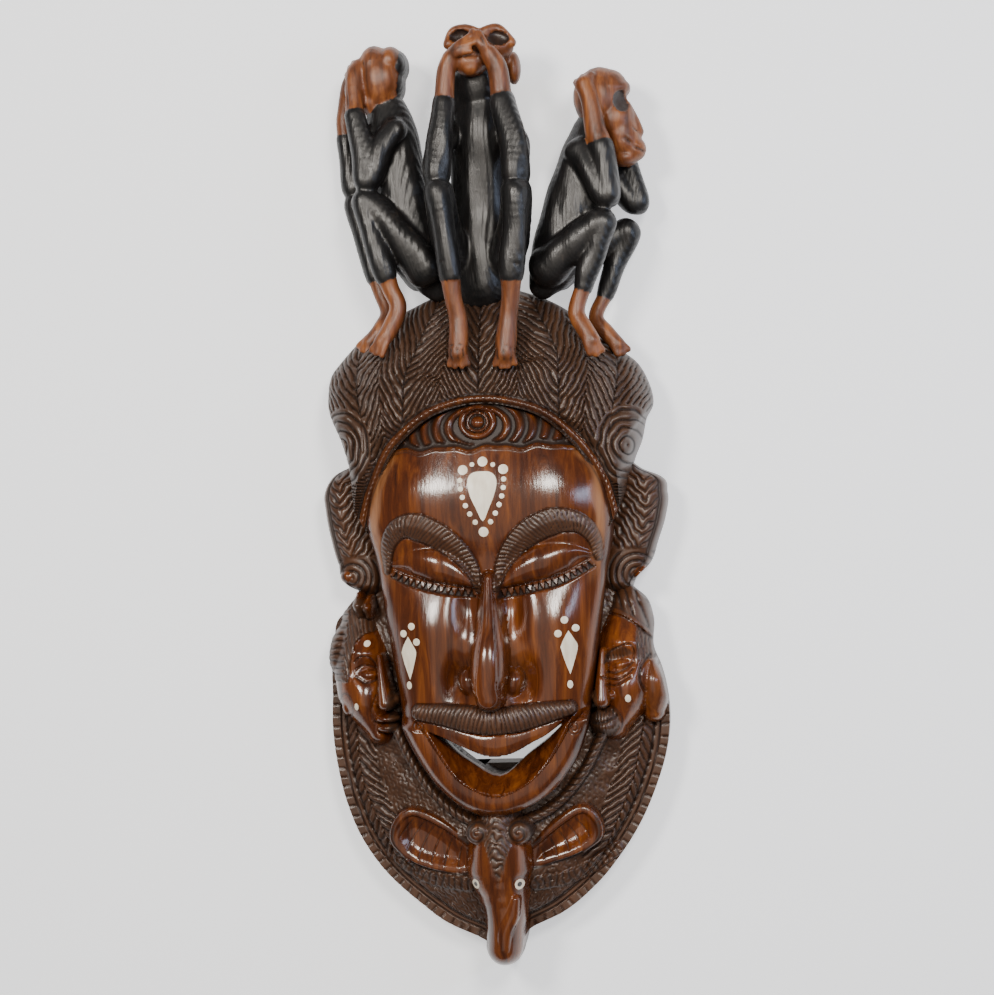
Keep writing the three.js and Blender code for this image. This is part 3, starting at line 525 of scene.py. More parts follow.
def collar_surface(x, y):
    """Height, cut and polish of the collar, with the elephant and the side heads on it."""
    across = across_of(x, y, COLLAR_LEFT, COLLAR_RIGHT)
    low = np.clip((y + 366) / 62, 0, 1) ** 0.8
    z = COLLAR_EDGE_Z + (COLLAR_CHIN_Z - COLLAR_EDGE_Z) * low * (1 - across**2)
    left_edge = [(px, py) for py, px in COLLAR_LEFT[3:14]]
    right_edge = [(px, py) for py, px in COLLAR_RIGHT[3:14]]
    far_l, _, run_l, _ = beside(x, y, left_edge)
    far_r, _, run_r, _ = beside(x, y, right_edge)
    rim = np.minimum(far_l, far_r)
    run = np.where(far_l < far_r, run_l, run_r)
    polish = np.zeros(x.shape) + 0.12

    # ground: fine tool marks, with fans of feather strokes inside the rim
    uneven = 0.5 * wobble(x, y, 12, 12) + 0.2 * wobble(x, y, 13, 5)
    deep_ground, ground = strand((x * 0.8 + y * 0.6) / 4.2 + uneven)
    ground = 0.45 * ground
    deep, cut, near = plumes(x, y, COLLAR_FANS, 8.2, -1.0)
    fan = step_up(17 - near, 0, 3)
    z += 3.0 * fan * (1 - np.clip(near / 17, 0, 1) ** 2) - 1.4 * line_cut(near, 1.2)
    cut = np.where(fan > 0.5, cut, ground)
    z -= np.where(fan > 0.5, 2.5 * deep, 1.0 * deep_ground)
    z += 0.6 * wobble(x, y, 14, 16)

    # border
    band = step_up(11.5 - rim, 0, 1.0)
    notch = gouge(run / 8.6 + 0.12 * wobble(x, y, 15, 20), 0.72) * step_up(6.5 - rim, 0, 1.5)
    z = z * (1 - band) + band * (33 - 1.2 * notch)
    z -= 1.4 * line_cut(np.abs(rim - 7.4), 0.9)
    z -= 2.0 * line_cut(np.abs(rim - 12.2), 1.2)
    cut = cut * (1 - band)
    cut = np.maximum(cut, np.maximum(line_cut(np.abs(rim - 7.4), 0.9), line_cut(np.abs(rim - 12.2), 1.3)))
    cut = np.maximum(cut, 0.6 * notch * band)
    polish = np.maximum(polish, 0.18 * band)

    # twisted cord round the chin
    chin = [(px * 1.06, py - 7) for px, py in CHIN_LINE]
    far, side, along, _ = beside(x, y, chin)
    rope = roll(x, y, chin, [4.4, 4.4, 4.4], [64, 67, 64], 7)
    on = step_up(rope - z, -0.5, 0.5)
    z = over(z, rope, 0.6)
    twist = gouge((along + 0.8 * far * side) / 6.4, 0.6) * on
    z -= 1.2 * twist
    cut = np.where(on > 0.5, 0.8 * twist, cut)
    cut = np.maximum(cut, 0.7 * line_cut(np.abs(far - 5.0), 1.2) * (side < 0))

    # elephant's ears with rolled upper edges and a fringe below
    for outline in ELEPHANT_EARS:
        sign = np.sign(outline[2][0])
        loop = outline + [outline[0]]
        pts = curve_through(loop, 5)[:, :2]
        inside = np.zeros(x.shape, dtype=bool)
        for (ax, ay), (bx, by) in zip(pts[:-1], pts[1:]):
            cross = (ay > y) != (by > y)
            inside ^= cross & (x < (bx - ax) * (y - ay) / (1e-9 if by == ay else by - ay) + ax)
        far, _, along, _ = beside(x, y, loop, 5)
        on = step_up(np.where(inside, far, -far), -0.4, 1.2)
        panel = 53 - 4.0 * step_up(far, 2, 12) + 0.05 * (np.abs(x) - 50)
        z = z * (1 - on) + panel * on
        roll_top = roll(x, y, outline[:6], [2.5, 3.4, 3.8, 3.8, 3.2, 1.5], [55, 58, 59, 58, 56, 54], 5)
        rolled = step_up(roll_top - z, -0.4, 0.4)
        z = over(z, roll_top, 0.8)
        z += 1.6 * on * np.sin(np.clip(far / 14, 0, 1) * pi)
        veins = line_cut(np.abs(((np.abs(x) - 30 + 0.012 * (y + 300) ** 2) / 11) % 1.0 - 0.5), 0.075) * on
        veins *= step_up(far, 4, 7)
        z -= 1.0 * veins
        cut = np.where(on > 0.5, veins * 0.9, cut)
        ring = line_cut(np.abs(far - 0.2), 1.4)
        cut = np.maximum(cut, 0.9 * ring * (z < 57))
        polish = np.maximum(polish, np.maximum(on, 0.85 * rolled))
        fringe_far, _, run, _ = beside(x, y, [(sign * 92, -289), (sign * 62, -308), (sign * 28, -314)])
        fringe = step_up(6.5 - fringe_far, 0, 1.5) * (1 - on)
        teeth = 0.8 * gouge(run / 5.4 + 0.15 * wobble(x, y, 16, 12), 0.5) * fringe
        z += 2.4 * fringe - 1.3 * teeth
        cut = np.where(fringe > 0.3, teeth, cut)

    # elephant's head and trunk
    head = roll(x, y, [(0, -262), (-0.5, -284), (-1, -304), (1, -320)], [19, 26, 27.5, 21], [84, 87, 86, 81],
                36, 6)
    trunk = roll(x, y, [(2, -312), (2.6, -335), (1.8, -352), (0.8, -364)], [20, 18.4, 16.4, 15.6],
                 [83, 80.5, 78, 77], 30, 6)
    fold = roll(x, y, [(13, -322), (10, -334), (4, -348), (2, -362)], [4, 6, 6, 5], [81, 81.5, 80, 78], 6, 6)
    form = over(over(head, trunk, 3), fold, 2.5)
    on = step_up(form - z, -1, 1)
    z = over(z, form, 1.0)
    cut = cut * (1 - on)
    polish = np.maximum(polish, on)
    crown = on * step_up(15 - np.abs(x - 1) + 0.34 * (y + 268), 0, 3) * step_up(y + 338, 0, 6)
    deep, wrinkle = strand((y + 0.10 * (x - 1) ** 2 + 0.35 * x) / 6.0 + 0.35 * wobble(x, y, 21, 12))
    z -= 1.3 * deep * crown
    wrinkle = 0.9 * wrinkle * crown
    cut = np.maximum(cut, wrinkle)
    polish = polish * (1 - 0.8 * crown)
    for cx in (-15, 18):
        knob = mound(x, y, cx, -268, 10.5, 10, 75, 11)
        on_knob = step_up(knob - z, -1, 1)
        z = over(z, knob, 0.8)
        r = np.hypot(x - cx, y + 268)
        turn = gouge(r / 5.0 + 0.16 * np.arctan2(y + 268, x - cx), 0.55) * on_knob
        z -= 1.2 * turn
        cut = np.maximum(cut * (1 - on_knob), turn)
        polish = polish * (1 - 0.5 * on_knob)
    for cx in (-19, 16.6):
        r = np.hypot((x - cx) / 0.85, y + 310)
        cut = np.maximum(cut, 0.6 * line_cut(np.abs(r - 6.2), 0.9))

    for head in SIDE_HEADS:
        z, cut, polish = side_head(x, y, z, cut, polish, head)

    # shell-like ear of the right side head
    shell = roll(x, y, [(127, -178), (128, -166), (127.5, -150), (126.5, -137)], [9, 11.5, 10, 4.5],
                 [50, 58, 60, 54], 16)
    on = step_up(shell - z, -1, 1)
    z = over(z, shell, 1.0)
    polish = np.maximum(polish * (1 - on), 0.8 * on)
    cut = cut * (1 - on)
    fold = line_cut(beside(x, y, [(125, -131), (119, -140), (117.6, -150), (121.6, -159)])[0], 1.8)
    z -= 2.6 * fold
    cut = np.maximum(cut, 0.9 * fold)
    return z, np.clip(cut, 0, 1), np.clip(polish, 0, 1)


# Ears
EARS = [
    dict(name="ear_lobe_left",
         left=[(-80, -113), (-73, -114), (-70, -120), (-50, -130), (-31, -135), (-6, -139), (7, -139.5),
               (17, -135), (25, -127), (29, -118)],
         right=[(-80, -98), (-60, -84), (-30, -88), (0, -92), (29, -100)],
         centre=(-119, -14), spine=[(-124, 22), (-123, -10), (-116, -48)], knob=(-116, -62)),
    dict(name="ear_lobe_right",
         left=[(-84, 96), (-60, 84), (-30, 90), (0, 94), (24, 100)],
         right=[(-84, 109), (-77, 112), (-72, 114), (-58, 127), (-40, 134), (-19, 141), (-1, 143), (14, 136),
                (19, 124), (24, 117)],
         centre=(121, -18), spine=[(126, 16), (126, -14), (118, -50)], knob=(117, -66)),
]
BACK_Z = 22


def ear_surface(x, y, ear):
    """Height, cut and polish of one ear: a leaf of strokes over a ringed knob."""
    across = across_of(x, y, ear["left"], ear["right"])
    sign = np.sign(ear["centre"][0])
    out = across * sign
    fall = np.clip((out - 0.1) / 0.9, 0, 1) ** 2.4
    z = 30 + 17 * np.sqrt(np.clip(1 - fall, 0, 1)) - 6 * (1 - step_up(out, -0.9, -0.2))
    far, _, along, _ = beside(x, y, ear["spine"])
    edge = line_cut(np.abs(out - 0.78), 0.09)
    z += 1.4 * step_up(out, 0.76, 0.82) * step_up(0.99 - out, 0, 0.1)
    leaf = step_up(0.74 - out, 0, 0.05) * step_up(y + 46, 0, 3)
    deep, strokes = strand((along + 1.1 * far) / 7.6 + 0.2 * wobble(x, y, 31, 13))
    strokes = strokes * leaf
    z += 2.4 * leaf * np.clip(1 - far / 16, 0, 1) - 1.9 * deep * leaf
    rings = gouge(np.hypot(x - ear["knob"][0], y - ear["knob"][1]) / 5.6, 0.5) * step_up(-46 - y, 0, 3)
    z -= 1.5 * rings
    knob = mound(x, y, ear["knob"][0] + 4 * sign, ear["knob"][1] + 1, 7, 6, 38, 9)
    on = step_up(knob - z, -1, 1)
    z = over(z, knob, 0.8)
    cut = np.maximum(np.maximum(strokes, rings * (1 - on)), edge)
    end = step_up(np.minimum(y - ear["left"][0][0], ear["left"][-1][0] - y), 0, 12)
    return BACK_Z + (z - BACK_Z) * (0.45 + 0.55 * end), np.clip(cut, 0, 1), np.clip(0.15 + 0.75 * on, 0, 1)


# Turning the carving into closed meshes
def to_row(points):
    out = np.array(points, dtype=float)
    out[:, 0] -= MIDDLE_X
    out[:, 1] -= MIDDLE_Y
    return out * MM


def spots_of(mesh):
    flat = np.empty(len(mesh.vertices) * 3)
    mesh.vertices.foreach_get("co", flat)
    return flat.reshape(-1, 3)


def points_in(grown):
    return [item for item in grown if isinstance(item, bmesh.types.BMVert)]


def open_edges_in(grown):
    return [item for item in grown if isinstance(item, bmesh.types.BMEdge) and item.is_boundary]


def paint(mesh, **layers):
    """Keeps what the finishes read, such as how much painted shade a cut gets, with each spot of a mesh."""
    for name, values in layers.items():
        layer = mesh.attributes.new(name, "FLOAT", "POINT")
        layer.data.foreach_set("value", np.ascontiguousarray(values, dtype=np.float32))


def hand_over(mesh, name, material, node, crease=50):
    """Moves a carved mesh from the layout's millimetres into the row and dresses it."""
    mesh.vertices.foreach_set("co", to_row(spots_of(mesh)).ravel())
    mesh.materials.clear()
    mesh.materials.append(material)
    mesh.shade_smooth()
    mesh.set_sharp_from_angle(angle=radians(crease))
    mesh.update()
    mesh.name = name
    piece = bpy.data.objects.new(name, mesh)
    bpy.context.scene.collection.objects.link(piece)
    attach(piece, "root")
    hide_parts(node)
    return piece


FOOT_PROFILE = [(14, 0.0), (6, 0.004), (2, 0.012), (0, 0.018)]


def carved_plate(columns, rows, place, surface):
    """A grid laid over an outline and raised to the carving, with drawn-in sides and a flat back."""
    bm = bmesh.new()
    bmesh.ops.create_grid(bm, x_segments=columns, y_segments=rows, size=1.0)
    bm.verts.ensure_lookup_table()
    grid = np.array([v.co[:2] for v in bm.verts])
    x, y, out = place(grid[:, 0], grid[:, 1])
    z, cut, polish = surface(x, y, out)
    for v, px, py, pz in zip(bm.verts, x, y, z):
        v.co = (px, py, pz)
    top_count = len(bm.verts)
    low = [e for e in bm.edges if e.is_boundary]
    middle = Vector((x.mean(), y.mean(), 0))
    for height, drawn_in in FOOT_PROFILE:
        grown = bmesh.ops.extrude_edge_only(bm, edges=low)["geom"]
        for v in points_in(grown):
            inward = (middle - v.co).to_2d()
            v.co = (*(v.co.to_2d() + inward * drawn_in), min(v.co.z, height))
        low = open_edges_in(grown)
    bmesh.ops.triangle_fill(bm, edges=low, use_beauty=True)
    bmesh.ops.recalc_face_normals(bm, faces=bm.faces)
    mesh = bpy.data.meshes.new("plate")
    bm.to_mesh(mesh)
    bm.free()
    pad = np.zeros(len(mesh.vertices) - top_count)
    return mesh, np.concatenate([cut, pad]), np.concatenate([polish, pad])


def by_length(points, share):
    path = np.array(points, dtype=float)
    run = np.concatenate([[0], np.cumsum(np.hypot(*(path[1:] - path[:-1]).T))])
    run /= run[-1]
    return np.interp(share, run, path[:, 0]), np.interp(share, run, path[:, 1])


def place_hair(u, w):
    inner = curve_through([(px * 0.95, py - 4) for px, py in ARCH])[:, :2]
    outer = curve_through(HAIR_RIM)[:, :2]
    share = (u + 1) / 2
    out = (w + 1) / 2
    ix, iy = by_length(inner, share)
    ox, oy = by_length(outer, share)
    return ix + (ox - ix) * out, iy + (oy - iy) * out, out


def place_between(left, right, bottom, top):
    def place(u, w):
        y = bottom + (top - bottom) * (w + 1) / 2
        lo = smooth_through(left, y)
        hi = smooth_through(right, y)
        return lo + (hi - lo) * (u + 1) / 2, y, u
    return place


def solid_between(outline, low, high):
    """Straight-sided block over an outline, to cut with."""
    bm = bmesh.new()
    ring = bmesh.ops.create_circle(bm, cap_ends=True, radius=1.0, segments=len(outline))["verts"]
    for v, (px, py) in zip(ring, outline):
        v.co = (px, py, low)
    up = bmesh.ops.extrude_face_region(bm, geom=bm.faces[:])["geom"]
    bmesh.ops.translate(bm, vec=(0, 0, high - low), verts=points_in(up))
    bmesh.ops.recalc_face_normals(bm, faces=bm.faces)
    mesh = bpy.data.meshes.new("cutter")
    bm.to_mesh(mesh)
    bm.free()
    return mesh


def cut_away(mesh, cutters):
    """The mesh that is left when each cutter is taken away."""
    body = bpy.data.objects.new("body", mesh)
    bpy.context.scene.collection.objects.link(body)
    tools = []
    for cutter in cutters:
        tool = bpy.data.objects.new("tool", cutter)
        bpy.context.scene.collection.objects.link(tool)
        tools.append(tool)
        step = body.modifiers.new("cut", "BOOLEAN")
        step.operation = "DIFFERENCE"
        step.solver = "MANIFOLD"
        step.object = tool
    bpy.context.view_layer.update()
    graph = bpy.context.evaluated_depsgraph_get()
    result = bpy.data.meshes.new_from_object(body.evaluated_get(graph), depsgraph=graph)
    for spare in [body] + tools:
        bpy.data.objects.remove(spare)
    return result


HOLLOW_HALVES = [(-218, 32), (-190, 52), (-120, 65), (-40, 72), (30, 66), (60, 48), (74, 24)]
HOLLOW_BOTTOM, HOLLOW_TOP, HOLLOW_DEPTH = -218, 74, 76
HOLLOW_MIDDLE_X, HOLLOW_RIM_Z = 2, 8
DOME_MIDDLE_Y, DOME_HALF_LENGTH = -60, 190
UNDER_BACK = -3


def hollow_block():
    """The hollow behind the face, as a domed block to cut with."""
    bm = bmesh.new()
    bmesh.ops.create_grid(bm, x_segments=48, y_segments=96, size=1.0)
    for v in bm.verts:
        u, y = v.co.x, HOLLOW_BOTTOM + (HOLLOW_TOP - HOLLOW_BOTTOM) * (v.co.y + 1) / 2
        half = float(smooth_through(HOLLOW_HALVES, np.array([y]))[0])
        end = sqrt(max(1 - ((y - DOME_MIDDLE_Y) / DOME_HALF_LENGTH) ** 2, 0.04))
        rise = (HOLLOW_DEPTH - HOLLOW_RIM_Z) * end * sqrt(max(1 - u * u, 0))
        v.co = (HOLLOW_MIDDLE_X + u * half, y, HOLLOW_RIM_Z + rise)
    rim = [e for e in bm.edges if e.is_boundary]
    grown = bmesh.ops.extrude_edge_only(bm, edges=rim)["geom"]
    for v in points_in(grown):
        v.co.z = UNDER_BACK
    low = open_edges_in(grown)
    bmesh.ops.triangle_fill(bm, edges=low, use_beauty=True)
    bmesh.ops.recalc_face_normals(bm, faces=bm.faces)
    mesh = bpy.data.meshes.new("hollow")
    bm.to_mesh(mesh)
    bm.free()
    return mesh


# Finishes
def new_finish(name):
    material = bpy.data.materials.new(name)
    material.use_nodes = True
    tree = material.node_tree
    return material, tree, tree.nodes["Principled BSDF"]


def add(tree, kind, **values):
    node = tree.nodes.new(kind)
    for key, value in values.items():
        setattr(node, key, value)
    return node


def mix_colors(tree, share, a, b, mode="MIX"):
    node = add(tree, "ShaderNodeMix", data_type="RGBA", blend_type=mode)
    for socket, value in ((node.inputs[0], share), (node.inputs[6], a), (node.inputs[7], b)):
        if hasattr(value, "is_output"):
            tree.links.new(value, socket)
        else:
            socket.default_value = value
    return node.outputs[2]


def work_out(tree, operation, a, b=0.0, clamp=False):
    node = add(tree, "ShaderNodeMath", operation=operation, use_clamp=clamp)
    for socket, value in ((node.inputs[0], a), (node.inputs[1], b)):
        if hasattr(value, "is_output"):
            tree.links.new(value, socket)
        else:
            socket.default_value = value
    return node.outputs[0]


def layer_value(tree, name):
    return add(tree, "ShaderNodeAttribute", attribute_name=name).outputs["Fac"]


def noise(tree, stretch, scale, detail=4.0, rough=0.55, warp=0.0):
    place = add(tree, "ShaderNodeTexCoord")
    turn = add(tree, "ShaderNodeMapping")
    turn.inputs["Scale"].default_value = stretch
    tree.links.new(place.outputs["Object"], turn.inputs["Vector"])
    node = add(tree, "ShaderNodeTexNoise")
    node.inputs["Scale"].default_value = scale
    node.inputs["Detail"].default_value = detail
    node.inputs["Roughness"].default_value = rough
    node.inputs["Distortion"].default_value = warp
    tree.links.new(turn.outputs["Vector"], node.inputs["Vector"])
    return node.outputs["Fac"]


def ramp(tree, value, stops):
    node = add(tree, "ShaderNodeValToRGB")
    bar = node.color_ramp
    while len(bar.elements) < len(stops):
        bar.elements.new(0.5)
    for element, (spot, color) in zip(bar.elements, stops):
        element.position = spot
        element.color = (*color, 1)
    tree.links.new(value, node.inputs["Fac"])
    return node.outputs["Color"]


def polished_color(tree):
    """Rosewood under polish: red-brown with darker and more orange streaks along the trunk's grain."""
    streaks = ramp(tree, noise(tree, (1, 0.08, 0.6), 150, 6, 0.62, 0.8), [
        (0.28, (0.036, 0.0096, 0.0028)), (0.46, (0.082, 0.0212, 0.0050)), (0.62, (0.150, 0.0440, 0.0080)),
        (0.80, (0.27, 0.088, 0.0140))])
    broad = ramp(tree, noise(tree, (1, 0.22, 0.8), 14, 3, 0.5, 1.4), [
        (0.30, (0.50, 0.42, 0.40)), (0.52, (0.82, 0.74, 0.68)), (0.72, (1.15, 1.08, 0.98))])
    return mix_colors(tree, 0.85, streaks, broad, "MULTIPLY")


def stained_color(tree):
    """Dark stain, darker and lighter in patches."""
    return ramp(tree, noise(tree, (1, 0.6, 1), 60, 5, 0.65), [
        (0.30, (0.008, 0.0036, 0.0020)), (0.52, (0.022, 0.0098, 0.0048)), (0.75, (0.049, 0.0220, 0.0098))])


def carved_wood(name, ridge_wear_and_highlight=0.42):
    material, tree, shader = new_finish(name)
    polish = layer_value(tree, "polish")
    cut = layer_value(tree, "cut")
    # Stained wood is mixed lighter wherever it is not cut: partly wear on what stands up, partly painted
    # highlight
    stained = mix_colors(tree, work_out(tree, "MULTIPLY", work_out(tree, "SUBTRACT", 1.0, cut, True),
                                        ridge_wear_and_highlight, True),
                         stained_color(tree), (0.078, 0.034, 0.0150, 1))
    color = mix_colors(tree, polish, stained, polished_color(tree))
    pale = layer_value(tree, "pale")
    sapwood = ramp(tree, noise(tree, (1, 0.08, 0.7), 140, 4, 0.6, 0.5), [
        (0.35, (0.16, 0.058, 0.018)), (0.55, (0.27, 0.115, 0.042)), (0.75, (0.36, 0.175, 0.070))])
    color = mix_colors(tree, work_out(tree, "MULTIPLY", pale, 0.8), color, sapwood)
    # Painted shade: the cut mask darkens grooves, creases and recesses nearly to black
    shade = work_out(tree, "MULTIPLY", work_out(tree, "POWER", cut, 0.9, True), 0.94)
    deep = mix_colors(tree, shade, color, (0.010, 0.0045, 0.003, 1))
    tree.links.new(deep, shader.inputs["Base Color"])
    dull = work_out(tree, "MULTIPLY", polish, -0.235)
    dull = work_out(tree, "ADD", dull, 0.345)
    uneven = work_out(tree, "MULTIPLY", noise(tree, (1, 1, 1), 35, 3), 0.13)
    dull = work_out(tree, "ADD", dull, uneven)
    dull = work_out(tree, "ADD", dull, work_out(tree, "MULTIPLY", pale, 0.28))
    dull = work_out(tree, "ADD", dull, work_out(tree, "MULTIPLY", cut, 0.25), True)
    tree.links.new(dull, shader.inputs["Roughness"])
    bump = add(tree, "ShaderNodeBump")
    bump.inputs["Strength"].default_value = 0.22
    bump.inputs["Distance"].default_value = 0.0006
    tree.links.new(noise(tree, (1, 0.16, 1), 420, 4, 0.6), bump.inputs["Height"])
    tree.links.new(bump.outputs["Normal"], shader.inputs["Normal"])
    return material


def monkey_wood(name):
    material, tree, shader = new_finish(name)
    bare = layer_value(tree, "bare")
    cut = layer_value(tree, "cut")
    black = ramp(tree, noise(tree, (1, 0.35, 1), 130, 6, 0.7, 0.4), [
        (0.40, (0.0035, 0.0035, 0.0038)), (0.62, (0.008, 0.007, 0.007)), (0.80, (0.035, 0.028, 0.022))])
    wood = ramp(tree, noise(tree, (1, 0.14, 0.7), 120, 5, 0.6, 0.6), [
        (0.30, (0.040, 0.012, 0.0035)), (0.50, (0.125, 0.036, 0.009)), (0.72, (0.26, 0.088, 0.021))])
    color = mix_colors(tree, bare, black, wood)
    # Painted shade: sockets, slits and grooves are darkened nearly to black
    color = mix_colors(tree, cut, color, (0.008, 0.005, 0.004, 1))
    tree.links.new(color, shader.inputs["Base Color"])
    dull = work_out(tree, "ADD", 0.26, work_out(tree, "MULTIPLY", noise(tree, (1, 1, 1), 60, 4), 0.26))
    dull = work_out(tree, "ADD", dull, work_out(tree, "MULTIPLY", bare, 0.05), True)
    tree.links.new(dull, shader.inputs["Roughness"])
    bump = add(tree, "ShaderNodeBump")
    bump.inputs["Strength"].default_value = 0.35
    bump.inputs["Distance"].default_value = 0.0008
    tree.links.new(noise(tree, (1, 0.3, 1), 330, 5, 0.65), bump.inputs["Height"])
    tree.links.new(bump.outputs["Normal"], shader.inputs["Normal"])
    return material


def bone_finish(name, low, high, dull):
    material, tree, shader = new_finish(name)
    color = ramp(tree, noise(tree, (1, 0.3, 1), 180, 4), [(0.3, low), (0.7, high)])
    tree.links.new(color, shader.inputs["Base Color"])
    uneven = work_out(tree, "MULTIPLY", noise(tree, (1, 1, 1), 200, 3), 0.2)
    tree.links.new(work_out(tree, "ADD", uneven, dull, True), shader.inputs["Roughness"])
    return material


head_wood = carved_wood("rosewood_polished_and_stained")
ape_wood = monkey_wood("black_stain_over_rosewood")
bone = bone_finish("polished_bone", (0.62, 0.55, 0.42), (0.82, 0.77, 0.65), 0.25)
pupil_black = bone_finish("black_pupil", (0.01, 0.009, 0.008), (0.03, 0.026, 0.022), 0.2)

FINE = 1.0


def density(count):
    return int(count * FINE)


# Making the hair
mesh, cut, polish = carved_plate(density(520), density(110), place_hair, hair_surface)
paint(mesh, cut=cut, polish=polish)
hand_over(mesh, "hair_carving", head_wood, "mask")

# The mouth's outline, the heights it is cut between, and how the wood inside the cuts is finished, with a
# little painted shade there
MOUTH_OUTLINE = curve_through(MOUTH_CUT + [MOUTH_CUT[0]], 4)[:-1, :2]
MOUTH_BACK_Z, UNDER_COLLAR, OVER_FACE = 28, -5, 140
FRONT_LEEWAY = 0.8
INSIDE_CUT, MOUTH_WALL_Z, MOUTH_WALL_POLISH = 0.1, 30, 0.6


def opened_plate(columns, rows, place, surface, mouth_foot):
    """A carved plate with the hollow and the mouth cut out, and which of its spots lie on the carving."""
    mesh, _, _ = carved_plate(columns, rows, place, lambda x, y, out: surface(x, y))
    mesh = cut_away(mesh, [hollow_block(), solid_between(MOUTH_OUTLINE, mouth_foot, OVER_FACE)])
    spots = spots_of(mesh)
    level, cut, polish = surface(spots[:, 0], spots[:, 1])
    front = np.abs(spots[:, 2] - level) < FRONT_LEEWAY
    return mesh, spots, np.where(front, cut, INSIDE_CUT), polish, front


# Making the face
mesh, spots, cut, polish, front = opened_plate(
    density(215), density(385), place_between(FACE_LEFT, FACE_RIGHT, FACE_BOTTOM, FACE_TOP),
    face_surface, MOUTH_BACK_Z)
inside_polish = np.where(spots[:, 2] > MOUTH_WALL_Z, MOUTH_WALL_POLISH, 0.0)
pale = np.where(front, pale_temples(spots[:, 0], spots[:, 1]), 0.0)
paint(mesh, cut=cut, polish=np.where(front, polish, inside_polish), pale=pale)
hand_over(mesh, "face_carving", head_wood, "mask")

# Making the collar with the side heads and the elephant
mesh, spots, cut, polish, front = opened_plate(
    density(300), density(320), place_between(COLLAR_LEFT, COLLAR_RIGHT, COLLAR_BOTTOM, COLLAR_TOP),
    collar_surface, UNDER_COLLAR)
paint(mesh, cut=cut, polish=np.where(front, polish, 0.0))
hand_over(mesh, "collar_carving", head_wood, "mask")

# Making the ears
for ear in EARS:
    ear_place = place_between(ear["left"], ear["right"], ear["left"][0][0], ear["left"][-1][0])
    mesh, cut, polish = carved_plate(density(60), density(130), ear_place,
                                     lambda x, y, out, ear=ear: ear_surface(x, y, ear))
    paint(mesh, cut=cut, polish=polish)
    hand_over(mesh, ear["name"], head_wood, "mask")


# Monkeys: every limb is a row of rounds of changing size, melted into one body and then carved.
# Where the black stain ends, the limb steps in to this share.
BARE_THINNER = 0.88


def limb(path, bare_from=2.0, steps=7):
    """Rounds along a limb; those past bare_from of its length are left without the black stain."""
    line = curve_through(path, steps)
    run = np.concatenate([[0], np.cumsum(np.sqrt(((line[1:, :3] - line[:-1, :3]) ** 2).sum(axis=1)))])
    share = run / run[-1]
    rounds = []
    for row, s in zip(line, share):
        half = row[3] * (BARE_THINNER if 0 < bare_from <= s else 1)
        rounds.append((tuple(row[:3]), (half,) * 3, 1.0 if s >= bare_from else 0.0))
    return rounds


def lump(centre, half, bare=1.0):
    """One round, with one half size or three."""
    return [(centre, half if isinstance(half, tuple) else (half,) * 3, bare)]


def fingers(wrist, tips, thick, bare=1.0):
    """Thin limbs from a wrist or foot to each tip, whose last number is how far they arch."""
    rounds = []
    for tip in tips:
        middle = [(a + b) / 2 for a, b in zip(wrist, tip[:3])]
        middle = [middle[0], middle[1], middle[2] + tip[3]]
        rounds += limb([(*wrist, thick * 1.15), (*middle, thick), (*tip[:3], thick * 0.82)],
                       -1 if bare else 2, 5)
    return rounds


def melted(rounds, grain):
    """One closed body from overlapping rounds."""
    ball = bmesh.new()
    bmesh.ops.create_uvsphere(ball, u_segments=18, v_segments=11, radius=1.0)
    unit = bpy.data.meshes.new("unit_round")
    ball.to_mesh(unit)
    ball.free()
    bm = bmesh.new()
    for _ in rounds:
        bm.from_mesh(unit)
    mesh = bpy.data.meshes.new("rounds")
    bm.to_mesh(mesh)
    bm.free()
    spots = spots_of(mesh).reshape(len(rounds), -1, 3)
    halves = np.array([half for _, half, _ in rounds])[:, None, :]
    centres = np.array([centre for centre, _, _ in rounds])[:, None, :]
    mesh.vertices.foreach_set("co", (spots * halves + centres).ravel())
    mesh.update()
    body = bpy.data.objects.new("rounds", mesh)
    bpy.context.scene.collection.objects.link(body)
    step = body.modifiers.new("melt", "REMESH")
    step.mode = "VOXEL"
    step.voxel_size = grain
    bpy.context.view_layer.update()
    graph = bpy.context.evaluated_depsgraph_get()
    result = bpy.data.meshes.new_from_object(body.evaluated_get(graph), depsgraph=graph)
    bpy.data.objects.remove(body)
    bm = bmesh.new()
    bm.from_mesh(result)
    for _ in range(3):
        bmesh.ops.smooth_vert(bm, verts=bm.verts, factor=0.5, use_axis_x=True, use_axis_y=True,
                              use_axis_z=True)
    bmesh.ops.recalc_face_normals(bm, faces=bm.faces)
    bm.to_mesh(result)
    bm.free()
    return result


def normals_of(mesh):
    flat = np.empty(len(mesh.vertices) * 3)
    mesh.vertices.foreach_get("normal", flat)
    return flat.reshape(-1, 3)


def bareness(spots, rounds):
    """Takes the finish of whichever round lies nearest under each spot."""
    best = np.full(len(spots), 1e9)
    value = np.zeros(len(spots))
    for centre, half, bare in rounds:
        gap = (np.sqrt((((spots - np.array(centre)) / np.array(half)) ** 2).sum(axis=1)) - 1) * min(half)
        nearer = gap < best
        best = np.where(nearer, gap, best)
        value = np.where(nearer, bare, value)
    return value


def path_distance(spots, path, steps=6):
    line = curve_through(path, steps)[:, :3]
    best = np.full(len(spots), 1e9)
    for a, b in zip(line[:-1], line[1:]):
        run = b - a
        t = np.clip(((spots - a) @ run) / max(run @ run, 1e-9), 0, 1)
        best = np.minimum(best, np.sqrt(((spots - a - t[:, None] * run) ** 2).sum(axis=1)))
    return best


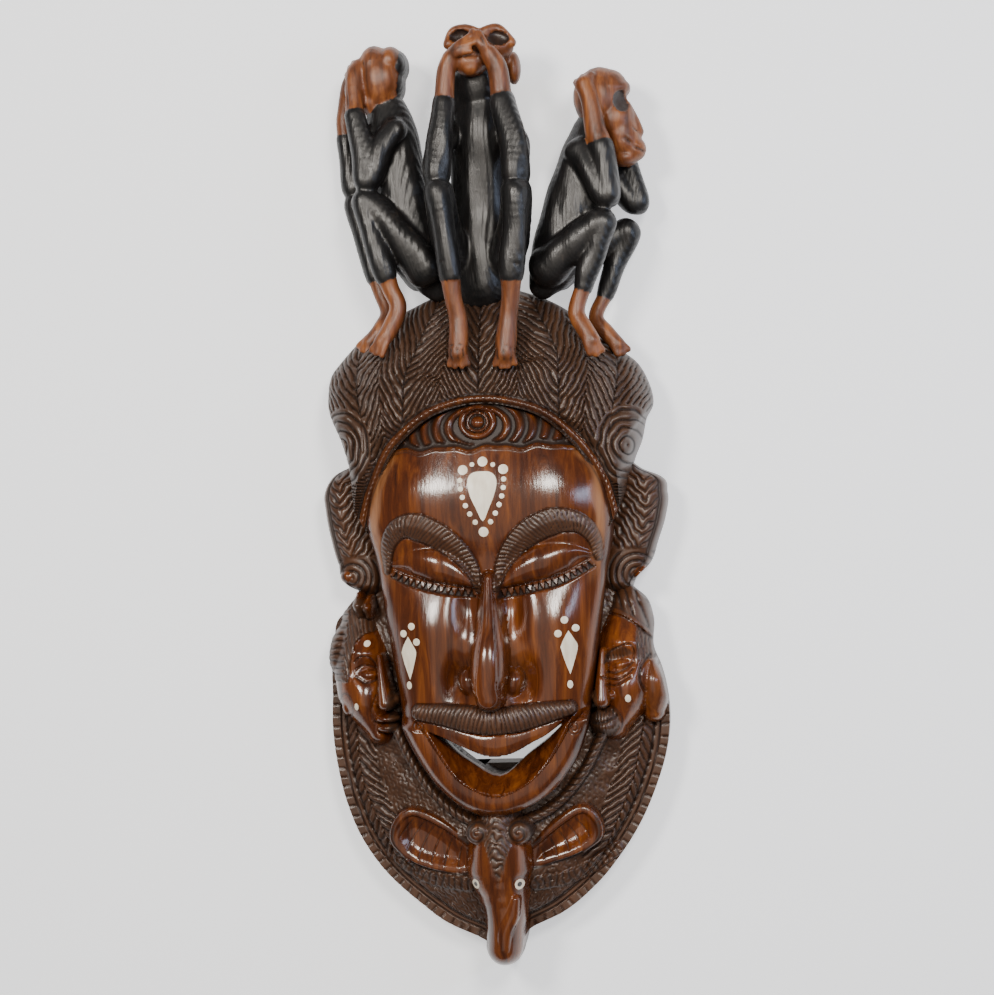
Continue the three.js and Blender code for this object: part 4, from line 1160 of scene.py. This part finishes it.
def carve_body(mesh, rounds, sockets, grooves):
    """Eye sockets, slits between fingers and toes, cuffs where the stain ends, and the knife's flats; sockets
    and grooves get painted shade.
    """
    spots = spots_of(mesh)
    normals = normals_of(mesh)
    cut = np.zeros(len(spots))
    depth = np.zeros(len(spots))
    for centre, half, deep in sockets:
        away = np.sqrt((((spots - np.array(centre)) / np.array(half)) ** 2).sum(axis=1))
        bowl = np.clip(1 - away**2, 0, 1)
        depth += deep * bowl**0.5
        cut = np.maximum(cut, np.where(away < 0.97, 0.92, 0))
    for path, width, deep in grooves:
        away = path_distance(spots, path) / width
        slit = np.exp(-(away**2) * 1.6)
        depth += deep * slit
        cut = np.maximum(cut, slit * 0.95)
    flats = (np.sin(spots[:, 0] * 0.31 + spots[:, 1] * 0.055 + 1.3 * np.sin(spots[:, 2] * 0.09))
             + np.sin(spots[:, 2] * 0.27 - spots[:, 1] * 0.05 + 1.1 * np.sin(spots[:, 0] * 0.1)))
    bare = bareness(spots, rounds)
    strokes = np.sin((spots[:, 0] + spots[:, 2]) * 1.9 + 5 * np.sin(spots[:, 1] * 0.035))
    depth += np.where(bare < 0.5, 0.42 * flats + 0.16 * strokes, 0.16 * flats)
    spots = spots - normals * depth[:, None]
    mesh.vertices.foreach_set("co", spots.ravel())
    mesh.update()
    paint(mesh, cut=np.clip(cut, 0, 1), bare=bare)


def middle_monkey():
    """Squats facing front, with both hands laid over the mouth."""
    torso = limb([(-1, 176, 40, 28), (-1, 200, 42, 27), (0, 232, 42, 24), (2, 268, 43, 25), (3, 294, 45, 26),
                  (4, 316, 50, 19)])
    neck = (limb([(2, 318, 50, 16), (3, 330, 54, 18), (4, 341, 56, 18.5)])
            + limb([(-9, 312, 48, 12), (-9, 326, 50, 12), (-8, 338, 52, 12)]))
    head = (lump((6, 357, 56), (24, 18.5, 27)) + lump((8, 361, 68), (27, 14, 17))
            + lump((0, 347, 80), (13.5, 10, 14)) + lump((1, 342, 84), (8, 6.5, 9)))
    brow = limb([(-17, 364, 76, 5), (-13, 373, 74, 5), (-4, 375.5, 76, 4.6), (3, 373.5, 78, 4),
                 (9, 370.5, 79, 4), (15, 373.5, 78, 4), (23, 374, 74, 4.8), (33, 363, 74, 5)], -1)
    ears = lump((32, 347, 49), (6, 14, 11)) + lump((-19, 352, 47), (5, 12, 10))
    left_arm = limb([(-16, 300, 50, 12), (-27, 284, 74, 11), (-28, 257, 94, 11), (-25, 282, 93, 10.5),
                     (-21, 312, 88, 10), (-20, 322, 88, 9.2), (-18, 340, 89, 8.6), (-14, 350, 90, 8)], 0.775)
    right_arm = limb([(23, 299, 50, 12), (34, 282, 74, 11), (35, 254, 94, 11.4), (34, 282, 93, 11),
                      (27, 310, 87, 10.5), (25, 321, 86, 9.8), (23, 340, 88, 9.6), (17, 352, 91, 8.6)], 0.765)
    hands = (fingers((-16, 352, 90), [(3, 366, 95, 4), (4, 359.5, 98, 4), (3, 353, 98, 3)], 3.5)
             + fingers((17, 350, 92), [(5, 369, 93, 4), (10, 367.5, 95, 3)], 4.2))
    left_leg = limb([(-16, 184, 46, 17), (-24, 212, 74, 14), (-27, 244, 96, 12), (-23, 215, 97, 10),
                     (-20, 186, 96, 10), (-18, 160, 94, 8.3), (-15, 143, 91, 8.6), (-15, 128, 92, 9.2),
                     (-16, 116, 93, 9)], 0.70)
    right_leg = limb([(14, 184, 46, 17), (30, 210, 74, 14), (35, 241, 96, 12.6), (34, 212, 97, 10.5),
                      (30, 184, 96, 10.5), (28, 160, 93, 8.6), (25, 142, 91, 8.6), (23, 126, 92, 9.8),
                      (22, 114, 93, 9.4)], 0.70)
    toes = (fingers((-18, 120, 92), [(-23.5, 106, 92, 1), (-18.3, 104, 93, 1)], 2.7)
            + fingers((-12, 120, 92), [(-13.0, 104, 93, 1), (-7.8, 106, 92, 1)], 2.7)
            + fingers((19, 118, 92), [(13, 105, 92, 1), (18.6, 102.5, 93, 1)], 2.9)
            + fingers((25, 118, 92), [(24.2, 102.5, 93, 1), (29.8, 105, 92, 1)], 2.9))
    return torso + neck + head + brow + ears + left_arm + right_arm + hands + left_leg + right_leg + toes


def left_monkey():
    """Squats side on, with both hands over the eyes."""
    torso = limb([(-38, 170, 42, 9), (-43, 184, 43, 16), (-53, 208, 44, 23), (-62, 238, 44, 23),
                  (-68, 272, 44, 23), (-71, 298, 45, 22), (-73, 318, 45, 16)])
    head = (lump((-78, 344, 46), (18, 27, 23)) + lump((-82, 354, 46), (14, 18.5, 21))
            + lump((-95, 336, 46), (13, 16, 17)))
    back_of_head = lump((-62.5, 355, 43), (8, 13, 18), 0) + lump((-66, 342, 43), (8, 16, 18), 0)
    temple = lump((-69, 358, 46), (11, 13, 20)) + lump((-72, 344, 46), (12, 20, 22))
    jaw = lump((-85, 326, 46), (10, 13, 16))
    near_arm = limb([(-66, 300, 62, 11), (-76, 284, 68, 10.5), (-88, 259, 71, 11), (-90, 282, 70, 10),
                     (-96, 312, 66, 9), (-97, 322, 64, 8.6), (-97, 345, 60, 8.4), (-94, 354, 55, 8)], 0.71)
    far_arm = limb([(-76, 300, 30, 11), (-92, 284, 29, 11), (-105, 259, 28, 11), (-109, 284, 29, 9),
                    (-112, 310, 31, 8), (-111, 322, 32, 7.6), (-106, 342, 36, 8), (-99, 352, 42, 7)], 0.62)
    hand = fingers((-99, 342, 58), [(-98, 358, 52, 2), (-102, 355, 48, 2), (-105, 350, 45, 1)], 4.2)
    near_leg = limb([(-46, 188, 58, 17), (-66, 216, 66, 14), (-90, 243, 70, 11.5), (-86, 220, 71, 10),
                     (-78, 192, 71, 10.5), (-72, 172, 70, 8.3), (-66, 156, 70, 8), (-72, 140, 73, 8),
                     (-80, 128, 75, 7.5)], 0.70)
    far_leg = limb([(-52, 188, 32, 17), (-76, 216, 30, 14), (-103, 246, 29, 11), (-99, 222, 30, 9),
                    (-91, 192, 32, 9.5), (-86, 172, 34, 7.6), (-80, 154, 38, 7.6), (-86, 140, 44, 7.5),
                    (-95, 130, 46, 7)], 0.70)
    toes = (fingers((-72, 138, 74), [(-88, 122, 76, 2), (-84, 119, 78, 2), (-79, 117, 80, 2)], 3.6)
            + fingers((-88, 140, 45), [(-104, 128, 44, 1), (-101, 124, 47, 1), (-97, 122, 49, 1)], 3.4))
    return torso + head + back_of_head + temple + jaw + near_arm + far_arm + hand + near_leg + far_leg + toes


def right_monkey():
    """Squats side on, with a hand over each ear."""
    torso = limb([(49, 171, 42, 12), (57, 184, 42, 19), (68, 206, 43, 25), (79, 236, 44, 26),
                  (87, 264, 45, 23), (93, 290, 45, 17)])
    head = (lump((101, 320, 45), (22, 25, 24)) + lump((108, 326, 45), (16, 17, 20))
            + lump((113, 302, 45), (16, 19, 20)) + lump((117, 291, 45), (14, 19, 17)))
    muzzle = (lump((119, 285, 45), (14, 16, 16)) + lump((127, 277, 45), (10, 10, 12))
              + lump((120, 270, 45), (10, 7, 12)))
    brow = limb([(110, 326, 27, 3.5), (119, 326, 36, 5), (121, 327, 45, 5), (119, 326, 54, 5),
                 (110, 326, 63, 3.5)], -1)
    nose = limb([(121, 312, 45, 5), (127, 300, 45, 5), (130, 291, 45, 5.5)], -1)
    near_arm = limb([(84, 274, 62, 12), (94, 258, 68, 11.5), (105, 237, 72, 11), (104, 262, 72, 10.4),
                     (101, 280, 71, 10.4), (98, 290, 70, 10), (95, 312, 68, 9), (90, 328, 66, 8.5)], 0.62)
    far_arm = limb([(92, 272, 30, 12), (110, 254, 29, 11.5), (126, 236, 28, 11), (123, 256, 28, 9.4),
                    (117, 276, 26, 8.6), (113, 288, 25, 8.2), (104, 310, 22, 8), (96, 322, 22, 7)], 0.62)
    hand = fingers((90, 322, 68), [(84, 330, 62, 2), (89, 334, 62, 2), (95, 335, 64, 2)], 4.4)
    near_leg = limb([(56, 184, 58, 17), (80, 202, 68, 14), (101, 216, 72, 12), (96, 198, 72, 10),
                     (88, 178, 72, 9.5), (84, 166, 72, 7.8), (78, 146, 73, 8), (84, 132, 76, 8.2),
                     (90, 122, 78, 8)], 0.70)
    far_leg = limb([(62, 184, 32, 17), (92, 200, 31, 13), (118, 212, 30, 11.4), (111, 194, 31, 9),
                    (102, 172, 33, 8.4), (98, 160, 34, 7.2), (91, 143, 38, 7.2), (100, 130, 42, 7.5),
                    (108, 120, 44, 7.2)], 0.70)
    toes = (fingers((84, 130, 77), [(88, 112, 81, 2), (93, 111, 80, 2), (98, 114, 78, 2)], 3.8)
            + fingers((100, 130, 43), [(108, 112, 47, 1), (112, 113, 45, 1), (116, 116, 43, 1)], 3.6))
    return torso + head + muzzle + brow + nose + near_arm + far_arm + hand + near_leg + far_leg + toes


# Cuts in the bodies: sockets are a centre, half sizes and a depth, slits a path, a width and a depth
MIDDLE_SOCKETS = [((-8, 369.5, 82), (8.5, 5.2, 14), 3.6), ((24, 366, 82), (8.8, 6.4, 14), 3.8)]
MIDDLE_FINGER_SLITS = [
    ([(-15, 357.5, 98), (-6, 361.8, 102), (3, 362.8, 102)], 1.1, 1.4),
    ([(-15, 353, 98), (-6, 355.8, 102), (3, 356.2, 102)], 1.1, 1.4),
    ([(11, 366, 100), (15, 358, 101), (19, 348, 102)], 1.2, 1.2),
]
MIDDLE_CUFFS = [
    ([(-34, 321, 88), (-26, 319, 100), (-14, 316, 100), (-8, 314, 88)], 1.2, 1.1),
    ([(14, 315, 86), (22, 316, 99), (32, 318, 98), (38, 319, 86)], 1.2, 1.1),
    ([(-28, 188, 92), (-24, 188, 106), (-12, 188, 108), (-8, 188, 92)], 1.1, 0.8),
    ([(16, 184, 90), (22, 184, 106), (34, 183, 106), (40, 182, 92)], 1.1, 0.8),
]
MIDDLE_TOE_SLITS = [
    ([(-20.6, 118, 99), (-21, 105, 95)], 1.0, 0.9),
    ([(-15.4, 118, 101), (-15.5, 104, 96)], 1.0, 0.9),
    ([(-10.4, 118, 99), (-10.4, 105, 95)], 1.0, 0.9),
    ([(16.0, 117, 99), (15.8, 103, 95)], 1.0, 0.9),
    ([(21.8, 117, 102), (21.4, 102, 96)], 1.0, 0.9),
    ([(27.2, 117, 99), (27.0, 103, 95)], 1.0, 0.9),
]
MIDDLE_ANKLES = [
    ([(-25, 120, 92), (-16, 122, 102), (-6, 119, 92)], 0.8, 0.6),
    ([(12, 121, 92), (20, 120, 103), (33, 115, 92)], 0.8, 0.6),
    ([(-24, 146, 96), (-15, 147, 101), (-6, 147, 96)], 0.9, 0.7),
    ([(15, 143, 96), (25, 144, 101), (34, 143, 96)], 0.9, 0.7),
]
LEFT_SLITS = [
    ([(-104, 315, 76), (-96, 315, 80), (-86, 314, 78)], 1.1, 0.9),
    ([(-90, 315, 74), (-80, 322, 72), (-66, 328, 70)], 1.3, 1.0),
    ([(-89, 318, 72), (-88, 340, 70), (-89, 356, 64)], 1.3, 1.1),
    ([(-101, 320, 70), (-104, 340, 66), (-103, 354, 58)], 1.1, 0.9),
    ([(-90, 184, 80), (-78, 186, 83), (-66, 187, 78)], 1.1, 0.8),
]
RIGHT_SOCKETS = [((120, 314, 62), (7.5, 9, 13), 3.8), ((120, 314, 28), (7.5, 9, 13), 3.8)]
RIGHT_SLITS = [
    ([(128, 297, 60), (134, 290, 54), (138, 290, 45)], 1.1, 1.0),
    ([(122, 300, 62), (127, 294, 58), (130, 290, 52)], 1.1, 0.9),
    ([(121, 284, 60), (129, 277, 57), (138, 273, 45), (129, 277, 33)], 1.4, 1.9),
    ([(86, 290, 76), (94, 284, 82), (104, 286, 82), (112, 292, 76)], 1.2, 1.1),
    ([(104, 322, 72), (106, 306, 76), (110, 292, 74)], 1.3, 1.1),
    ([(90, 334, 74), (95, 316, 78), (100, 302, 80)], 1.0, 0.7),
    ([(79, 170, 82), (87, 168, 84), (96, 166, 80)], 1.1, 0.8),
]
MONKEYS = [
    ("monkey_over_mouth", middle_monkey(), MIDDLE_SOCKETS,
     MIDDLE_FINGER_SLITS + MIDDLE_CUFFS + MIDDLE_TOE_SLITS + MIDDLE_ANKLES),
    ("monkey_over_eyes", left_monkey(), [], LEFT_SLITS),
    ("monkey_over_ears", right_monkey(), RIGHT_SOCKETS, RIGHT_SLITS),
]
GRAIN = 1.3
for name, rounds, sockets, grooves in MONKEYS:
    mesh = melted(rounds, GRAIN)
    carve_body(mesh, rounds, sockets, grooves)
    hand_over(mesh, name, ape_wood, "mask", crease=60)


# Bone inlays, each cut to its outline and let a little into the wood it sits in
def oval(half_x, half_y, count=20):
    return [(half_x * cos(2 * pi * k / count), half_y * sin(2 * pi * k / count)) for k in range(count)]


def rounded(points, steps=4):
    return [tuple(row[:2]) for row in curve_through(points + [points[0]], steps)[:-1]]


EDGE_SOFTENED = 0.22
DROP = rounded([(-11.7, 6.5), (-10.6, 12.8), (-6.6, 16.2), (0, 16.9), (6.6, 16.2), (10.6, 12.8), (11.7, 6.5),
                (9.3, -3), (4.9, -13), (0, -22.6), (-4.9, -13), (-9.3, -3)], 3)
KITE = rounded([(-6.6, 2.6), (-4.2, 8.2), (-0.4, 14.6), (0.4, 14.6), (4.2, 8.2), (6.6, 2.6), (4.4, -6.6),
                (0.5, -18.2), (-0.5, -18.2), (-4.4, -6.6)], 3)


def inlay(name, at, outline, surface, material, slot_name, hole=None, proud=0.4, sink=1.6):
    """One piece of bone with softened edges, following the carving that it is let into."""
    bm = bmesh.new()
    made = bmesh.ops.create_circle(bm, cap_ends=hole is None, radius=1.0, segments=len(outline))["verts"]
    for v, (px, py) in zip(made, outline):
        v.co = (px, py, 0)
    if hole is not None:
        inner = bmesh.ops.create_circle(bm, cap_ends=False, radius=1.0, segments=len(hole))["verts"]
        for v, (px, py) in zip(inner, hole):
            v.co = (px, py, 0)
        bmesh.ops.bridge_loops(bm, edges=bm.edges[:])
    else:
        bmesh.ops.poke(bm, faces=bm.faces[:])
    bmesh.ops.subdivide_edges(bm, edges=bm.edges[:], cuts=2, use_grid_fill=True)
    grown = bmesh.ops.extrude_face_region(bm, geom=bm.faces[:])["geom"]
    top = points_in(grown)
    for v in bm.verts:
        v.co.z = -sink
    for v in top:
        v.co.z = proud
        if any(not f.normal.length or abs(f.normal.z) < 0.5 for f in v.link_faces):
            v.co.z = proud - EDGE_SOFTENED
    bmesh.ops.triangulate(bm, faces=bm.faces[:])
    bmesh.ops.recalc_face_normals(bm, faces=bm.faces)
    mesh = bpy.data.meshes.new(name)
    bm.to_mesh(mesh)
    bm.free()
    spots = spots_of(mesh) + np.array([at[0], at[1], 0.0])
    spots[:, 2] += surface(spots[:, 0], spots[:, 1])[0]
    mesh.vertices.foreach_set("co", spots.ravel())
    hand_over(mesh, name + "_bone" if slot_name == "bone" else name + "_dark", material, name,
              crease=40)


BIG_DOT, BEAD, SMALL_BEAD = oval(3.9, 3.9), oval(2.1, 2.1, 14), oval(1.9, 1.9, 14)
CHEEK_DOT, CHEEK_DROP = oval(2.9, 2.9), oval(2.2, 3.2)
LEFT_KITE_AT, RIGHT_KITE_AT = (-64.4, -124), (64.4, -122.4)
INLAYS = [
    ("brow_drop", (0.5, 4), DROP), ("brow_dot_top", (1.2, 28.6), BIG_DOT),
    ("brow_dot_left", (-14.6, 22.4), BIG_DOT), ("brow_dot_right", (17.6, 22), BIG_DOT),
    ("brow_dot_foot", (0.6, -27), BIG_DOT),
    ("brow_bead_over_left", (-7.2, 26.6), SMALL_BEAD), ("brow_bead_over_right", (9.4, 26), SMALL_BEAD),
    ("cheek_kite_left", LEFT_KITE_AT, KITE), ("cheek_kite_right", RIGHT_KITE_AT, KITE),
    ("cheek_drop_left", (-65.4, -148), CHEEK_DROP), ("cheek_drop_right", (64.0, -150), CHEEK_DROP),
]

# The beads at each side of the drop draw together towards its point
BEADS_A_SIDE, FIRST_BEAD_Y, BEADS_DROP = 6, 14.2, 33.4
WIDEST, DRAWN_IN = 17.2, 11.4
for i in range(BEADS_A_SIDE):
    down = i / (BEADS_A_SIDE - 1)
    spread = WIDEST - DRAWN_IN * down**2
    bead_y = FIRST_BEAD_Y - BEADS_DROP * down
    INLAYS.append((f"brow_bead_left_{i + 1}", (0.2 - spread, bead_y), BEAD))
    INLAYS.append((f"brow_bead_right_{i + 1}", (0.8 + spread, bead_y), BEAD))
for side, (kite_x, kite_y), dots in (("left", LEFT_KITE_AT, [(3.3, 23.4), (-3.9, 17.6), (7.3, 11)]),
                                     ("right", RIGHT_KITE_AT, [(-2.8, 23.8), (5.5, 17), (-8.1, 13.2)])):
    for i, (dx, dy) in enumerate(dots):
        INLAYS.append((f"cheek_dot_{side}_{i + 1}", (kite_x + dx, kite_y + dy), CHEEK_DOT))
for name, at, outline in INLAYS:
    inlay(name, at, outline, face_surface, bone, "bone")
for name, at, outline in [("side_left_brow_dot", (-103.4, -115.4), oval(2.6, 2.6)),
                          ("side_left_cheek_dot", (-112.4, -166), oval(1.8, 2.9)),
                          ("side_right_cheek_dot", (108, -164.2), oval(2.4, 3.1))]:
    inlay(name, at, outline, collar_surface, bone, "bone")
for name, at in [("elephant_eye_left", (-19, -309.7)), ("elephant_eye_right", (16.6, -310.2))]:
    inlay(name, at, oval(3.4, 4.2), collar_surface, bone, "bone", hole=oval(1.6, 2.0))
    inlay(name + "_pupil", at, oval(1.55, 1.95, 14), collar_surface, pupil_black, "dark_pupil", proud=0.2)


# Floor, light and camera
def soft_light(name, place, aim, size, power, tint=(1, 1, 1)):
    lamp = bpy.data.lights.new(name, "AREA")
    lamp.shape = "RECTANGLE"
    lamp.size, lamp.size_y = size
    lamp.energy = power
    lamp.color = tint
    holder = bpy.data.objects.new(name, lamp)
    holder.location = place
    holder.rotation_euler = (Vector(aim) - Vector(place)).to_track_quat("-Z", "Y").to_euler()
    bpy.context.scene.collection.objects.link(holder)
    return holder


bm = bmesh.new()
bmesh.ops.create_grid(bm, x_segments=1, y_segments=1, size=4.0)
floor_mesh = bpy.data.meshes.new("pale_floor")
bm.to_mesh(floor_mesh)
bm.free()
floor = bpy.data.objects.new("pale_floor", floor_mesh)
bpy.context.scene.collection.objects.link(floor)
floor_look, _, floor_shader = new_finish("pale_floor")
floor_shader.inputs["Base Color"].default_value = (0.70, 0.73, 0.78, 1)
floor_shader.inputs["Roughness"].default_value = 0.9
floor_shader.inputs["Emission Color"].default_value = (1, 1, 1, 1)
floor_shader.inputs["Emission Strength"].default_value = 0.75
floor_mesh.materials.append(floor_look)

world = bpy.data.worlds.new("soft_room")
world.use_nodes = True
world.node_tree.nodes["Background"].inputs["Color"].default_value = (1, 1, 1, 1)
world.node_tree.nodes["Background"].inputs["Strength"].default_value = 0.18
bpy.context.scene.world = world
LAMP_SIZE, LAMP_WARM = (0.32, 0.38), (1.0, 0.94, 0.86)
soft_light("lamp_left", (-0.62, 0.62, 1.75), (0, 0, 0.05), LAMP_SIZE, 29, LAMP_WARM)
soft_light("lamp_right", (0.55, 0.60, 1.75), (0, 0, 0.05), LAMP_SIZE, 25, LAMP_WARM)
soft_light("window_right", (1.25, 0.25, 0.85), (0, -0.05, 0.05), (0.16, 0.9), 7, (0.62, 0.74, 1.0))
soft_light("ceiling", (0.0, -0.4, 2.4), (0, 0, 0), (2.4, 2.4), 15, (1.0, 0.88, 0.74))

DISTANCE, TURN, ROLL, AIM_HEIGHT = 1.8, radians(7), radians(2), 0.055
FOCAL_PX, FRAME_PX, SHIFT_PX = 2223, 995, 8.5
SENSOR_MM = 36
aim = Vector((-MIDDLE_X * MM, -MIDDLE_Y * MM, AIM_HEIGHT))
back = Vector((sin(TURN), 0, cos(TURN)))
level_x = Vector((cos(TURN), 0, -sin(TURN)))
level_y = Vector((0, 1, 0))
right = level_x * cos(ROLL) - level_y * sin(ROLL)
up = level_x * sin(ROLL) + level_y * cos(ROLL)
lens = bpy.data.cameras.new("photo_view")
lens.sensor_width = SENSOR_MM
lens.lens = FOCAL_PX * SENSOR_MM / FRAME_PX
lens.shift_x = SHIFT_PX / FRAME_PX
lens.clip_end = 20
camera = bpy.data.objects.new("photo_view", lens)
bpy.context.scene.collection.objects.link(camera)
camera.matrix_world = Matrix((
    (right.x, up.x, back.x, aim.x + back.x * DISTANCE),
    (right.y, up.y, back.y, aim.y + back.y * DISTANCE),
    (right.z, up.z, back.z, aim.z + back.z * DISTANCE),
    (0, 0, 0, 1),
))
bpy.context.scene.camera = camera
